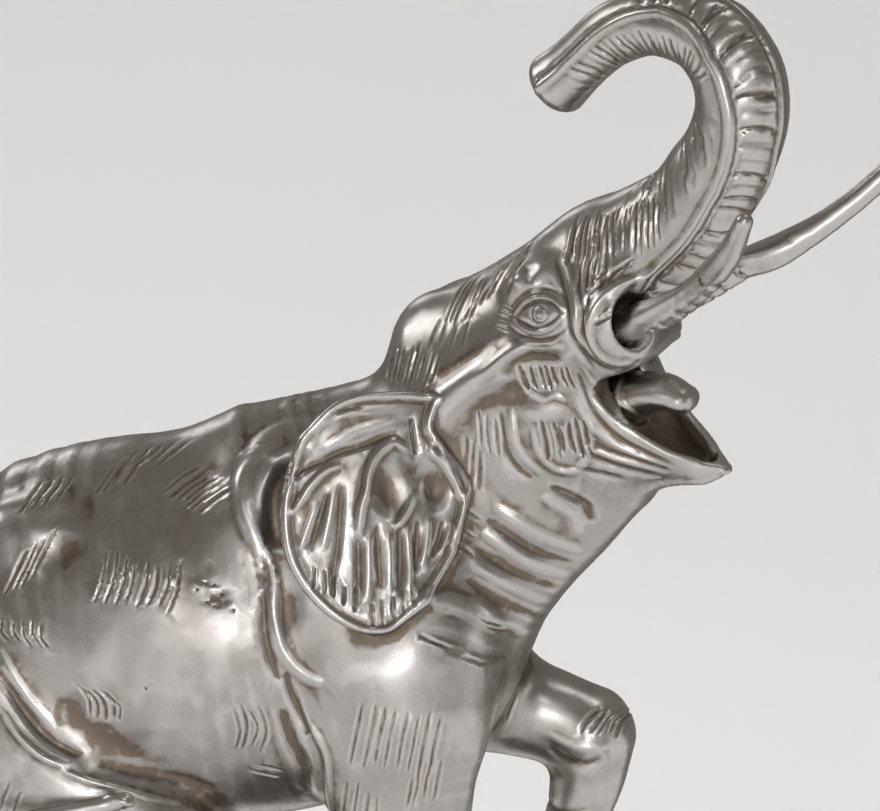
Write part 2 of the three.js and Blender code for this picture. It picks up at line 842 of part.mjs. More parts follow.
const sculpture = new THREE.Group();
sculpture.add(piece("elephant", figureGeometry()), piece("base", baseGeometry()));

export default sculpture;
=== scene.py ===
"""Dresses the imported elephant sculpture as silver-toned cast bronze, and lights and frames it.

The figure is modelled again from the limbs of the CAD solid, a few of them moved by some millimetres, on a
much finer grid. It is then chased: folds, creases, trunk ribs, ear flutes, toenails and tool strokes are
pushed in and out along the surface. The base is the CAD solid in the same bronze. Lengths are in millimetres
until a mesh is made, when they become metres. Lights, camera and backdrop are in metres throughout.

+X is the way the elephant walks, +Y its left side, +Z up. The origin is under the middle of the base.
"""

import math
from concurrent.futures import ThreadPoolExecutor

import bpy
import numpy as np
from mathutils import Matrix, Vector


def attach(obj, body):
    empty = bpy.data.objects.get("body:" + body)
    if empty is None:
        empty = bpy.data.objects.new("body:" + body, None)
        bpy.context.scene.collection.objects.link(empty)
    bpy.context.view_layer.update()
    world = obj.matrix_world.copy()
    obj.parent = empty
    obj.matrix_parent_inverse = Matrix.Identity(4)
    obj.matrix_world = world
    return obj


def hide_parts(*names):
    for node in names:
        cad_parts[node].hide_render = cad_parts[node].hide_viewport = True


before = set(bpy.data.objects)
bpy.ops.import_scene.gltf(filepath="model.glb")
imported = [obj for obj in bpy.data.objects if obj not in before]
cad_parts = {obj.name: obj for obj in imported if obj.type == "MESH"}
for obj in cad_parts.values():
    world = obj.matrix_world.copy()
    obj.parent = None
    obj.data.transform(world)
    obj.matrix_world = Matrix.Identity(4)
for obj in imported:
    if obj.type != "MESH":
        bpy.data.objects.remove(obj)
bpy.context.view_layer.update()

# ---------- Driving dimensions ----------

MM = 0.001

BASE_HEIGHT = 20
FOOT_GAP = 0.3  # the feet stand this far above the base
GROUND = BASE_HEIGHT + FOOT_GAP

HEAD_PIVOT = np.array([146.0, 0.0, 411.0])  # the middle of the skull, where the head turns on the neck
HEAD_YAW = math.radians(-24)  # the head is turned to the elephant's right
HEAD_ROLL = math.radians(8)  # and tipped over to the same side

CELL = 1.9  # spacing of the grid that the figure is meshed on
HEAD_CELL = 1.25  # and its spacing about the head
HEAD_LOW = np.array([40.0, -165.0, 290.0])
HEAD_HIGH = np.array([385.0, 120.0, 650.0])
FIGURE_TRIANGLES = 196000
ROUGHNESS_LEFT = (0.05, 0.04)  # how far an edge may cut through the chasing, in each round of splitting
FIGURE_LOW = np.array([-210, -162, GROUND])  # a box round the whole figure
FIGURE_HIGH = np.array([364, 134, 624])
GRID_MARGIN = 6  # and the room that the grid has beyond it
RECESS_ROUNDS = 5  # rounds of smoothing that show up a tool stroke
HOLLOW_ROUNDS = 30  # and the further rounds that show up a fold
FULL_RECESS = 0.12  # a recess this deep is fully dark, and a ridge this high fully bright
FULL_HOLLOW = 0.6  # the same for the broad hollows

CAMERA_TARGET = Vector((0.1262, -0.0032, 0.4083))
CAMERA_AZIMUTH = math.radians(8)
CAMERA_ELEVATION = math.radians(8)
CAMERA_DISTANCE = 2.6
CAMERA_LENS = 212.7  # on a 36 mm wide sensor

# ---------- Smooth solids, as signed distances ----------

# A distance is below zero inside the solid. p is an array of points, one to a row.

REACH = 45  # beyond this distance from its box a limb's exact distance doesn't matter


def join(a, b, k):
    """The union of two solids, with a fillet about k wide where they meet."""
    h = np.maximum(k - np.abs(a - b), 0) / k
    return np.minimum(a, b) - h * h * k / 4


def carve(a, b, k):
    """Solid a with solid b cut out of it, with an edge rounded by about k."""
    return -join(-a, b, k)


def blend_rows(a, b, c, d, t):
    """Catmull-Rom interpolation between rows b and c."""
    return 0.5 * (2 * b + (c - a) * t + (2 * a - 5 * b + 4 * c - d) * t**2 + (3 * b - a - 3 * c + d) * t**3)


def spline(rows, per_span=5):
    """A smooth curve through rows of numbers, each column interpolated alike."""
    rows = np.array(rows, float)
    last = len(rows) - 1
    points = []
    for i in range(last):
        before = rows[max(i - 1, 0)]
        after = rows[min(i + 2, last)]
        for j in range(per_span):
            points.append(blend_rows(before, rows[i], rows[i + 1], after, j / per_span))
    points.append(rows[last])
    return np.array(points)


def closed_curve(outline, per_span=4):
    """A smooth closed curve through the points of an outline."""
    rows = np.array(outline, float)
    count = len(rows)
    points = []
    for i in range(count):
        a, b, c, d = (rows[(i + k) % count] for k in (-1, 0, 1, 2))
        for j in range(per_span):
            points.append(blend_rows(a, b, c, d, j / per_span))
    return np.array(points)


def oval_distance(x, y, z, rx, ry, rz):
    """Distance to an ellipsoid with its centre at the origin, nearly true close to its surface."""
    k0 = np.sqrt((x / rx) ** 2 + (y / ry) ** 2 + (z / rz) ** 2)
    k1 = np.sqrt((x / rx / rx) ** 2 + (y / ry / ry) ** 2 + (z / rz / rz) ** 2)
    return k0 * (k0 - 1) / np.maximum(k1, 1e-9)


def box_distance(p, low, high):
    """Distance from each point to a box, 0 inside it."""
    gap = np.maximum(np.maximum(low - p, p - high), 0)
    return np.sqrt((gap * gap).sum(1))


class Limb:
    """A spine of [x, y, z, half width, half depth] stations. tip stretches its rounded ends along it."""

    def __init__(self, stations, tip=1.0):
        rows = spline(stations)
        self.tip = tip
        self.start = rows[:-1, :3]
        steps = rows[1:, :3] - self.start
        self.length = np.linalg.norm(steps, axis=1)
        self.tangent = steps / self.length[:, None]
        side = np.array([0.0, 1.0, 0.0])
        across = side - self.tangent * (self.tangent @ side)[:, None]
        self.across = across / np.linalg.norm(across, axis=1)[:, None]
        self.up = np.cross(self.tangent, self.across)
        self.radii = rows[:, 3:5]
        widest = rows[:, 3:5].max(1)[:, None]
        self.low = (rows[:, :3] - widest).min(0)
        self.high = (rows[:, :3] + widest).max(0)
        self.travelled = np.concatenate([[0], np.cumsum(self.length)])

    def place(self, p):
        """For each point: its span, how far along that, 0 to 1, and its offset across, up and along."""
        best = np.full(len(p), np.inf)
        span = np.zeros(len(p), int)
        along = np.zeros(len(p))
        for i in range(len(self.length)):
            d = p - self.start[i]
            s = d @ self.tangent[i]
            t = np.clip(s, 0, self.length[i])
            gap = np.einsum("ij,ij->i", d, d) - t * (2 * s - t)
            closer = gap < best
            best = np.where(closer, gap, best)
            span = np.where(closer, i, span)
            along = np.where(closer, t, along)
        d = p - self.start[span] - self.tangent[span] * along[:, None]
        x = np.einsum("ij,ij->i", d, self.across[span])
        y = np.einsum("ij,ij->i", d, self.up[span])
        z = np.einsum("ij,ij->i", d, self.tangent[span])
        return span, along / self.length[span], x, y, z

    def distance(self, p):
        d = box_distance(p, self.low, self.high)
        near = np.flatnonzero(d <= REACH)
        if len(near):
            span, along, x, y, z = self.place(p[near])
            radii = self.radii[span] + (self.radii[span + 1] - self.radii[span]) * along[:, None]
            d[near] = oval_distance(x, y, z, radii[:, 0], radii[:, 1], radii.min(1) * self.tip)
        return d


class Lump:
    """An ellipsoid, turned by pitch about the y axis."""

    def __init__(self, centre, radii, pitch=0.0):
        self.centre = np.array(centre, float)
        self.radii = radii
        self.cos = math.cos(pitch)
        self.sin = math.sin(pitch)

    def distance(self, p):
        x, y, z = (p - self.centre).T
        return oval_distance(x * self.cos + z * self.sin, y, z * self.cos - x * self.sin, *self.radii)


def outline_distance(edge, x, y):
    """Distance from (x, y) to a closed outline, below zero inside it."""
    best = np.full(len(x), np.inf)
    inside = np.zeros(len(x), bool)
    for (ax, ay), (bx, by) in zip(edge, np.roll(edge, 1, axis=0)):
        ex = bx - ax
        ey = by - ay
        t = np.clip(((x - ax) * ex + (y - ay) * ey) / (ex * ex + ey * ey), 0, 1)
        best = np.minimum(best, (x - ax - t * ex) ** 2 + (y - ay - t * ey) ** 2)
        if ey:
            inside ^= ((ay > y) != (by > y)) & (x < ex * (y - ay) / ey + ax)
    return np.where(inside, -1, 1) * np.sqrt(best)


class Plate:
    """A curved plate, such as an ear: an outline of [back, down] points, thickened and bowed."""

    def __init__(self, root, splay, lean, outline, thickness):
        self.root = np.array(root, float)
        self.back = np.array([-math.cos(splay), math.sin(splay), 0.0])
        down = np.array([0.0, math.sin(lean), -math.cos(lean)])
        down -= self.back * (self.back @ down)
        self.down = down / np.linalg.norm(down)
        self.out = np.cross(self.back, self.down)
        if self.out[1] * splay < 0:
            self.out = -self.out
        self.thickness = thickness
        self.reach = max(math.hypot(*point) for point in outline) + thickness
        self.edge = closed_curve(outline)

    def place(self, p):
        """Each point's place back, down and out from the plate's root."""
        d = p - self.root
        return d @ self.back, d @ self.down, d @ self.out

    def bow(self, back, down):
        """How far the plate's middle stands out from its own plane."""
        return 3 - 0.004 * (back - 30) ** 2

    def distance(self, p):
        d = np.linalg.norm(p - self.root, axis=1) - self.reach
        near = np.flatnonzero(d <= REACH)
        if len(near):
            back, down, out = self.place(p[near])
            half = self.thickness / 2
            round_by = half * 0.9
            a = outline_distance(self.edge, back, down) + round_by
            b = np.abs(out - self.bow(back, down)) - half + round_by
            outside = np.hypot(np.maximum(a, 0), np.maximum(b, 0))
            d[near] = outside + np.minimum(np.maximum(a, b), 0) - round_by
        return d


# ---------- The body ----------

rump = Lump([-106, 0, 272], [70, 71, 72])

torso = Limb([
    [-100, 0, 273, 77, 75],
    [-64, 0, 289, 83, 90],
    [-22, 0, 293, 88, 97],
    [24, 0, 293, 86, 96],
    [60, 0, 299, 77, 95],
    [90, 0, 312, 64, 92],
])

neck = Limb([
    [76, 0, 332, 60, 88],
    [108, -2, 356, 50, 70],
    [148, -6, 392, 46, 54],
])

# The front of the neck, from the chest up to the chin.
throat = Limb([
    [118, 0, 282, 44, 38],
    [148, -3, 325, 42, 37],
    [179, -10, 360, 36, 37],
    [207, -18, 386, 28, 34],
])

shoulder_right = Limb([
    [76, -42, 370, 18, 32],
    [98, -45, 318, 25, 48],
    [106, -47, 262, 29, 46],
])

shoulder_left = Limb([
    [80, 42, 370, 18, 32],
    [104, 46, 318, 26, 46],
    [120, 45, 268, 29, 38],
])

fore_right = Limb([
    [104, -47, 285, 31, 48],
    [110, -47, 243, 29, 43],
    [113, -46, 208, 27, 35],
    [113, -45, 164, 25, 31],
    [112, -43, 122, 25, 29],
    [110, -42, 74, 24, 27],
    [110, -42, 42, 26, 30],
    [112, -42, 8, 28, 32],
])

fore_left = Limb([
    [112, 42, 262, 27, 36],
    [142, 44, 252, 25, 28],
    [170, 45, 244, 23, 25],
    [196, 45, 236, 22, 23],
])

shin_left = Limb([
    [197, 45, 231, 21, 23],
    [196, 45, 213, 19, 20],
    [190, 45, 190, 17, 16],
    [181, 45, 168, 17, 16],
    [171, 45, 146, 22, 21],
])

hind_right = Limb([
    [-118, -36, 296, 28, 56],
    [-92, -50, 254, 36, 50],
    [-58, -56, 224, 34, 42],
    [-26, -56, 200, 31, 37],
    [-2, -53, 174, 27, 33],
    [4, -50, 146, 24, 29],
    [-4, -46, 108, 22, 25],
    [-14, -43, 70, 22, 25],
    [-10, -42, 42, 25, 29],
    [-5, -42, 8, 28, 32],
])

hind_left = Limb([
    [-112, 40, 306, 30, 56],
    [-118, 48, 250, 33, 46],
    [-120, 48, 204, 28, 36],
    [-130, 45, 158, 24, 28],
    [-145, 43, 108, 22, 24],
    [-149, 42, 70, 22, 24],
    [-143, 42, 42, 24, 28],
    [-140, 42, 8, 27, 31],
])

# The tail hangs from the rump and swings forward round the right thigh.
tail = Limb([
    [-168, 0, 304, 11, 12],
    [-192, -8, 284, 8, 8],
    [-192, -44, 244, 6, 6],
    [-158, -84, 210, 5.5, 5.5],
    [-108, -102, 200, 5, 5],
    [-58, -102, 213, 5.5, 5.5],
    [-16, -99, 223, 4, 4],
])

hips = [Lump([-78, -56, 346], [24, 13, 16], 0.3), Lump([-84, 56, 334], [24, 13, 16], 0.3)]
blades = [Lump([38, -54, 356], [12, 11, 32], -0.3), Lump([38, 54, 344], [12, 11, 32], -0.3)]


def body_distance(p):
    d = join(torso.distance(p), rump.distance(p), 20)
    d = join(d, neck.distance(p), 36)
    d = join(d, throat.distance(p), 30)
    d = join(d, shoulder_right.distance(p), 24)
    d = join(d, shoulder_left.distance(p), 24)
    for lump in hips + blades:
        d = join(d, lump.distance(p), 20)
    d = join(d, fore_right.distance(p), 20)
    d = join(d, hind_right.distance(p), 14)
    d = join(d, hind_left.distance(p), 18)
    d = join(d, join(fore_left.distance(p), shin_left.distance(p), 8), 20)
    return join(d, tail.distance(p), 8)


# ---------- The head, in its own frame: x forward, y to its left, z up from the pivot ----------

skull_and_trunk = Limb([
    [-9, 0, 27, 43, 30],
    [33, 0, 46, 40, 31],
    [78, 0, 73, 33, 33],
    [104, 0, 88, 27, 29],
    [127, 0, 103, 24, 26],
    [140, 0, 119, 23, 24],
    [154, 0, 139, 23, 23],
    [160, 0, 160, 22.5, 23],
    [155.5, 0, 179, 21.5, 22.5],
    [140.5, 0, 192.5, 19.5, 20],
    [115, 0, 196.5, 16.5, 16.5],
    [93, 0, 190.5, 15, 16],
    [79, 0, 181, 15, 15],
    [67, 0, 171.5, 15, 15],
    [58, 0, 164.5, 17, 16],
], tip=0.6)

cheek = Limb([
    [8, 0, -2, 43, 34],
    [44, 0, 2, 39, 34],
    [74, 0, 10, 29, 28],
])

face = Limb([
    [20, 0, 24, 43, 34],
    [56, 0, 36, 40, 32],
    [84, 0, 50, 34, 24],
])

jaw = Limb([
    [60, 0, 12, 33, 40],
    [84, 0, 8, 29, 42],
    [100, 0, -1, 25, 39],
    [116, 0, -13, 19, 27],
    [126, 0, -19.5, 13, 16],
    [134, 0, -22, 8, 9.5],
    [138, 0, -22.5, 5, 5],
])

# The gap between the lips, seen from the side: an outline of [x, z] points, cut right through.
gape_edge = closed_curve([
    [85, 22], [92, 10], [100, 1.5], [108, -5], [116, -10.5], [126, -16], [136, -20.5],
    [150, -26], [180, -20], [180, 40], [124, 42], [110, 35], [98, 31], [89, 28],
])

LIP_TILT = 0.12  # the left lip is held this much higher for each millimetre across

# The hollow of the lower jaw, and the throat behind it.
channel = Limb([
    [70, 0, 16, 14, 14],
    [88, 0, 10, 17, 18],
    [101, 0, -2, 18, 17],
    [116, 0, -12, 12, 10.5],
    [127, 0, -18.5, 6, 5.5],
])

tongue = Limb([
    [70, 0, 6, 15, 11],
    [90, 0, 10, 15, 11],
    [105, 0, 12.5, 14, 9.5],
    [117, 0, 9.5, 11, 7],
])

# The parts below are one of a pair: they are made on the head's left and mirrored.
dome = Lump([-12, 16, 34], [24, 20, 21], 0.6)
brow = Lump([55, 31, 73], [15, 9, 7], 0.5)
cheekbone = Lump([38, 36, 30], [24, 10, 8], 0.7)


def sheath_to(end):
    return Limb([
        [60, 16, 58, 18, 22],
        [(60 + end) / 2, 23, 55, 17, 22],
        [end - 8, 26.5, 54, 16, 20],
        [end, 28, 55, 13, 16],
    ], tip=0.6)


sheath_right = sheath_to(104)
sheath_left = sheath_to(92)
socket = Limb([
    [97, 27, 52, 8, 10],
    [106, 28.5, 54, 11, 13],
    [118, 31, 58, 12, 15],
])
# The rolled fold of skin that runs from the cheekbone down to the front of the ear.
ear_fold = Limb([
    [48, 40, 38, 5, 5],
    [36, 44, 30, 6, 6],
    [24, 47, 23, 6, 6],
    [10, 50, 11, 6, 6],
    [3, 52, -3, 6, 6],
    [4, 51, -18, 6, 6],
    [10, 48, -34, 5, 5],
])
eye = Lump([62, 36, 60], [9, 5, 6], 0.4)

tusk_right = Limb([
    [88, -24, 46.5, 8, 8],
    [111, -27, 55, 8, 8],
    [131.6, -32, 64, 7.8, 7.8],
    [153.4, -40, 78, 7.2, 7.2],
    [177.6, -54, 98, 6.2, 6.2],
    [194, -66, 118, 4.4, 4.4],
])
tusk_left = Limb([
    [88, 24, 46.5, 8, 8],
    [113, 26.5, 57, 8, 8],
    [134, 33, 69, 7.8, 7.8],
    [157, 42, 79.5, 7.4, 7.4],
    [178.5, 55, 93, 6.4, 6.4],
    [196.5, 66, 108.5, 5.2, 5.2],
    [206, 72, 120, 4, 4],
])

EAR_OUTLINE = [
    [1, 0], [14, -4], [27, -6], [42, -7], [55, -4], [70, 7], [78, 20], [85, 39], [87, 58],
    [85, 73], [79, 87], [69, 100], [57, 109], [44, 111], [33, 105], [22, 97], [12, 87], [3, 76],
    [-3, 62], [-8, 48], [-6, 38], [-1, 30], [4, 21], [7, 14], [3, 4],
]


def ear_on(side, splay):
    return Plate([8, side * 50, 16], side * math.radians(splay), side * 0.35, EAR_OUTLINE, thickness=7)


ear_right = ear_on(-1, 50)
ear_left = ear_on(1, 38)

HEAD_REACH = 300


def turn_z(angle):
    c, s = math.cos(angle), math.sin(angle)
    return np.array([[c, -s, 0], [s, c, 0], [0, 0, 1]])


def turn_x(angle):
    c, s = math.cos(angle), math.sin(angle)
    return np.array([[1, 0, 0], [0, c, -s], [0, s, c]])


HEAD_TURN = turn_z(HEAD_YAW) @ turn_x(HEAD_ROLL)


def to_head(p):
    return (p - HEAD_PIVOT) @ HEAD_TURN


def head_distance(p):
    mirrored = p * [1, 0, 1] + np.abs(p) * [0, 1, 0]
    d = skull_and_trunk.distance(p)
    d = join(d, face.distance(p), 16)
    d = join(d, cheek.distance(p), 20)
    d = join(d, jaw.distance(p), 14)
    d = join(d, dome.distance(mirrored), 12)
    d = join(d, brow.distance(mirrored), 8)
    d = join(d, cheekbone.distance(mirrored), 10)
    sheath = np.where(p[:, 1] < 0, sheath_right.distance(mirrored), sheath_left.distance(mirrored))
    d = join(d, sheath, 18)
    d = carve(d, outline_distance(gape_edge, p[:, 0], p[:, 2] - LIP_TILT * p[:, 1]), 3)
    d = carve(d, channel.distance(p), 3)
    d = carve(d, socket.distance(mirrored), 4)
    d = join(d, tongue.distance(p), 5)
    d = join(d, tusk_right.distance(p), 2)
    d = join(d, tusk_left.distance(p), 2)
    d = join(d, eye.distance(mirrored), 2)
    return join(d, ear_fold.distance(mirrored), 7)


def figure_distance(p):
    """The whole figure, cut off flat where its feet meet the base."""
    d = body_distance(p)
    in_head = to_head(p)
    near = np.flatnonzero(np.linalg.norm(in_head, axis=1) < HEAD_REACH)
    if len(near):
        q = in_head[near]
        head = join(d[near], head_distance(q), 24)
        head = join(head, ear_right.distance(q), 5)
        d[near] = join(head, ear_left.distance(q), 5)
    return np.maximum(d, GROUND - p[:, 2])


def evaluate(field, p, chunk=20000):
    """The field at many points, worked out a chunk at a time on all cores."""
    pieces = [p[i : i + chunk] for i in range(0, len(p), chunk)]
    with ThreadPoolExecutor() as pool:
        return np.concatenate(list(pool.map(field, pieces)))


# ---------- Meshing by surface nets, only where the surface is ----------

LEVELS = 4  # the first look is at blocks of this many halvings above the grid's own cells
CORNERS = np.array([[i & 1, i >> 1 & 1, i >> 2 & 1] for i in range(8)])
EDGES = [(a, b) for a in range(8) for b in range(a + 1, 8) if bin(a ^ b).count("1") == 1]


def planes(low, high, fine_low, fine_high):
    """Grid planes from low to high, closer together between fine_low and fine_high."""
    values = [low]
    block = 2**LEVELS
    while values[-1] < high or (len(values) - 1) % block:
        inside = fine_low <= values[-1] < fine_high
        values.append(values[-1] + (HEAD_CELL if inside else CELL))
    return np.array(values)


def cells_at_surface(field, axes):
    """The lowest corners, as grid indices, of the cells that lie about the surface."""
    size = 2**LEVELS
    counts = [(len(axis) - 1) // size for axis in axes]
    cells = np.stack(np.meshgrid(*[np.arange(n) for n in counts], indexing="ij"), -1).reshape(-1, 3) * size
    while size > 1:
        low = np.stack([axes[k][cells[:, k]] for k in range(3)], 1)
        high = np.stack([axes[k][cells[:, k] + size] for k in range(3)], 1)
        half = np.linalg.norm(high - low, axis=1) / 2
        near = np.abs(evaluate(field, (low + high) / 2)) < half * 1.3 + 1
        size //= 2
        cells = (cells[near][:, None, :] + CORNERS[None] * size).reshape(-1, 3)
    return cells


def surface_nets(field, axes):
    """(vertices, quads) of the surface where the field is zero."""
    shape = np.array([len(axis) for axis in axes]) + 1
    weights = np.array([shape[1] * shape[2], shape[2], 1])
    cells = cells_at_surface(field, axes)
    cells = cells[np.argsort(cells @ weights)]
    cell_keys = cells @ weights
    corner_keys = np.unique((cell_keys[:, None] + CORNERS @ weights).ravel())
    rows = corner_keys // shape[2]
    corners = np.stack([rows // shape[1], rows % shape[1], corner_keys % shape[2]], 1)
    at = np.stack([axes[k][corners[:, k]] for k in range(3)], 1)
    values = evaluate(field, at)
    index = np.stack([np.searchsorted(corner_keys, cell_keys + c @ weights) for c in CORNERS], 1)
    inside = values[index] < 0
    mixed = inside.any(1) & ~inside.all(1)
    cells, cell_keys, index, inside = cells[mixed], cell_keys[mixed], index[mixed], inside[mixed]

    total = np.zeros((len(cells), 3))
    crossings = np.zeros(len(cells))
    for a, b in EDGES:
        cut = np.flatnonzero(inside[:, a] != inside[:, b])
        va = values[index[cut, a]]
        vb = values[index[cut, b]]
        t = (va / (va - vb))[:, None]
        total[cut] += at[index[cut, a]] * (1 - t) + at[index[cut, b]] * t
        crossings[cut] += 1
    vertices = total / crossings[:, None]

    quads = []
    for axis in range(3):
        b, c = (axis + 1) % 3, (axis + 2) % 3
        cut = np.flatnonzero(inside[:, 0] != inside[:, 1 << axis])
        key = cell_keys[cut]
        ring = np.stack([key, key - weights[b], key - weights[b] - weights[c], key - weights[c]], 1)
        quad = np.searchsorted(cell_keys, ring)
        flip = ~inside[cut, 0]
        quad[flip] = quad[flip][:, ::-1]
        quads.append(quad)
    return vertices, np.concatenate(quads)


def triangulate(vertices, quads):
    """Each quad cut along its shorter diagonal."""
    a, b, c, d = (vertices[quads[:, k]] for k in range(4))
    turn = np.linalg.norm(a - c, axis=1) > np.linalg.norm(b - d, axis=1)
    quads = np.where(turn[:, None], np.roll(quads, -1, axis=1), quads)
    return np.concatenate([quads[:, [0, 1, 2]], quads[:, [0, 2, 3]]])


def scatter(index, values, count):
    """The sum of the rows of values that share an index."""
    return np.stack([np.bincount(index, values[:, k], count) for k in range(values.shape[1])], 1)


def vertex_normals(vertices, triangles):
    """Normals averaged over the faces about each vertex, the larger faces counting for more."""
    a, b, c = (vertices[triangles[:, k]] for k in range(3))
    face = np.cross(b - a, c - a)
    total = scatter(triangles.ravel(), np.repeat(face, 3, axis=0), len(vertices))
    return total / np.maximum(np.linalg.norm(total, axis=1), 1e-12)[:, None]


def edges_of(triangles):
    """The edges as pairs of vertices, and for each triangle the edge after each of its corners."""
    pairs = np.stack([triangles, np.roll(triangles, -1, axis=1)], -1).reshape(-1, 2)
    pairs.sort(axis=1)
    size = triangles.max() + 1
    keys, sides = np.unique(pairs[:, 0] * size + pairs[:, 1], return_inverse=True)
    return np.stack([keys // size, keys % size], 1), sides.reshape(-1, 3)


def relax(values, edges, rounds):
    """Values at the vertices, averaged with their neighbours' that many times."""
    here = np.concatenate([edges[:, 0], edges[:, 1]])
    there = np.concatenate([edges[:, 1], edges[:, 0]])
    share = np.bincount(here, minlength=len(values))[:, None] + 1.0
    for _ in range(rounds):
        values = (scatter(here, values[there], len(values)) + values) / share
    return values


def split_where_rough(vertices, triangles, height, tolerance):
    """Cuts in two every edge along which the surface height isn't straight to within the tolerance."""
    normals = vertex_normals(vertices, triangles)
    edges, sides = edges_of(triangles)
    a, b = edges[:, 0], edges[:, 1]
    middle = (vertices[a] + vertices[b]) / 2
    normal = normals[a] + normals[b]
    normal /= np.maximum(np.linalg.norm(normal, axis=1), 1e-9)[:, None]
    swell = np.einsum("ij,ij->i", normals[a] - normals[b], vertices[a] - vertices[b]) / 8
    middle += normal * swell[:, None]
    at_ends = height(vertices, normals)
    rough = np.abs(height(middle, normal) - (at_ends[a] + at_ends[b]) / 2) > tolerance
    new_index = np.where(rough, len(vertices) + np.cumsum(rough) - 1, -1)
    m = new_index[sides]
    cuts = (m >= 0).sum(1)

    parts = [triangles[cuts == 0]]
    turned = []
    only_cut = (m >= 0).argmax(1)
    after_whole = ((m < 0).argmax(1) + 1) % 3
    for count, first in ((1, only_cut), (2, after_whole), (3, np.zeros(len(m), int))):
        rows = np.flatnonzero(cuts == count)
        order = (first[rows][:, None] + np.arange(3)) % 3
        turned.append((np.take_along_axis(triangles[rows], order, 1), np.take_along_axis(m[rows], order, 1)))
    v, e = turned[0]
    parts += [np.stack([v[:, 0], e[:, 0], v[:, 2]], 1), np.stack([e[:, 0], v[:, 1], v[:, 2]], 1)]
    v, e = turned[1]
    parts += [np.stack([e[:, 0], v[:, 1], e[:, 1]], 1), np.stack([v[:, 0], e[:, 0], e[:, 1]], 1)]
    parts += [np.stack([v[:, 0], e[:, 1], v[:, 2]], 1)]
    v, e = turned[2]
    parts += [np.stack([v[:, 0], e[:, 0], e[:, 2]], 1), np.stack([e[:, 0], v[:, 1], e[:, 1]], 1)]
    parts += [np.stack([e[:, 1], v[:, 2], e[:, 2]], 1), e]
    return np.concatenate([vertices, middle[rough]]), np.concatenate(parts)


def make_mesh(name, vertices, faces):
    """A Blender mesh object from millimetre points and faces of one number of sides, smooth shaded."""
    mesh = bpy.data.meshes.new(name)
    sides = faces.shape[1]
    mesh.vertices.add(len(vertices))
    mesh.vertices.foreach_set("co", (vertices * MM).astype(np.float32).ravel())
    mesh.loops.add(faces.size)
    mesh.loops.foreach_set("vertex_index", faces.astype(np.int32).ravel())
    mesh.polygons.add(len(faces))
    mesh.polygons.foreach_set("loop_start", np.arange(0, faces.size, sides, dtype=np.int32))
    mesh.update()
    mesh.validate()
    mesh.shade_smooth()
    piece = bpy.data.objects.new(name, mesh)
    bpy.context.collection.objects.link(piece)
    return piece


def thin_out(piece, triangles):
    """Collapses edges until the piece has no more than that many triangles."""
    faces = sum(len(polygon.vertices) - 2 for polygon in piece.data.polygons)
    if faces <= triangles:
        return
    thinner = piece.modifiers.new("thinner", "DECIMATE")
    thinner.ratio = triangles / faces
    bpy.context.view_layer.objects.active = piece
    bpy.ops.object.modifier_apply(modifier=thinner.name)


# ---------- Chasing: how far the skin is pushed out along its normal, in millimetres ----------


def hump(distance, width):
    """1 on the line, falling smoothly to 0 at that distance from it."""
    return np.clip(1 - (distance / width) ** 2, 0, 1) ** 2


def ramp(value, low, high):
    """0 below low and 1 above high, smooth between them."""
    t = np.clip((value - low) / (high - low), 0, 1)
    return t * t * (3 - 2 * t)


class Line:
    """A ridge, or a groove where the height is below 0, along a smooth path of [u, v] points."""

    def __init__(self, path, width, height, lips=0.0):
        self.path = spline(path, 4) if len(path) > 2 else np.array(path, float)
        self.width = width
        self.height = height
        self.lips = lips
        self.reach = width * (2 if lips else 1)
        self.low = self.path.min(0) - self.reach
        self.high = self.path.max(0) + self.reach

    def add(self, total, uv):
        near = np.flatnonzero(((uv > self.low) & (uv < self.high)).all(1))
        if not len(near):
            return
        q = uv[near]
        best = np.full(len(q), np.inf)
        along = np.zeros(len(q))
        steps = len(self.path) - 1
        for i in range(steps):
            a = self.path[i]
            e = self.path[i + 1] - a
            t = np.clip((q - a) @ e / (e @ e), 0, 1)
            gap = ((q - a - t[:, None] * e) ** 2).sum(1)
            along = np.where(gap < best, (i + t) / steps, along)
            best = np.minimum(best, gap)
        distance = np.sqrt(best)
        fade = 1 - (2 * along - 1) ** 4  # it dies out at its ends
        width = self.width * (0.55 + 0.45 * fade)
        total[near] += self.height * fade * hump(distance, width)
        if self.lips:
            total[near] += self.lips * fade * hump(distance - width, width * 0.8)


class Dent:
    """A bump, or a hollow where the height is below 0, with a centre and radii in [u, v]."""

    def __init__(self, centre, radii, height):
        self.centre = np.array(centre, float)
        self.radii = np.array(radii, float)
        self.height = height

    def add(self, total, uv):
        q = (uv - self.centre) / self.radii
        near = np.flatnonzero((np.abs(q) < 1).all(1))
        total[near] += self.height * hump(np.linalg.norm(q[near], axis=1), 1)


def ridge(path, width, height):
    return [Line(path, width, height)]


def groove(path, width, depth):
    return [Line(path, width, -depth)]


chance = np.random.default_rng(7)


def strokes(first, last, count, run, width=1.5, depth=0.5, bend=0.0):
    """A row of tool strokes, centred between first and last. run goes from a stroke's foot to its head."""
    first = np.array(first, float)
    last = np.array(last, float)
    run = np.array(run, float)
    aside = np.array([-run[1], run[0]]) * bend
    rows = []
    for k in range(count):
        centre = first + (last - first) * k / max(count - 1, 1) + chance.normal(0, 0.5, 2)
        half = run / 2 * chance.uniform(0.78, 1.15)
        size = chance.uniform(0.8, 1.2)
        path = [centre - half, centre + aside + chance.normal(0, 0.4, 2), centre + half]
        rows.append(Line(path, width * size, -depth * size, lips=depth * 0.45))
    return rows


def ring(centre, radii, width, height):
    """A closed oval ridge or groove."""
    angles = np.linspace(0, 2 * math.pi, 17)
    path = [[centre[0] + radii[0] * math.cos(a), centre[1] + radii[1] * math.sin(a)] for a in angles]
    return [Line(path[:-1] + path[:1], width, height)]


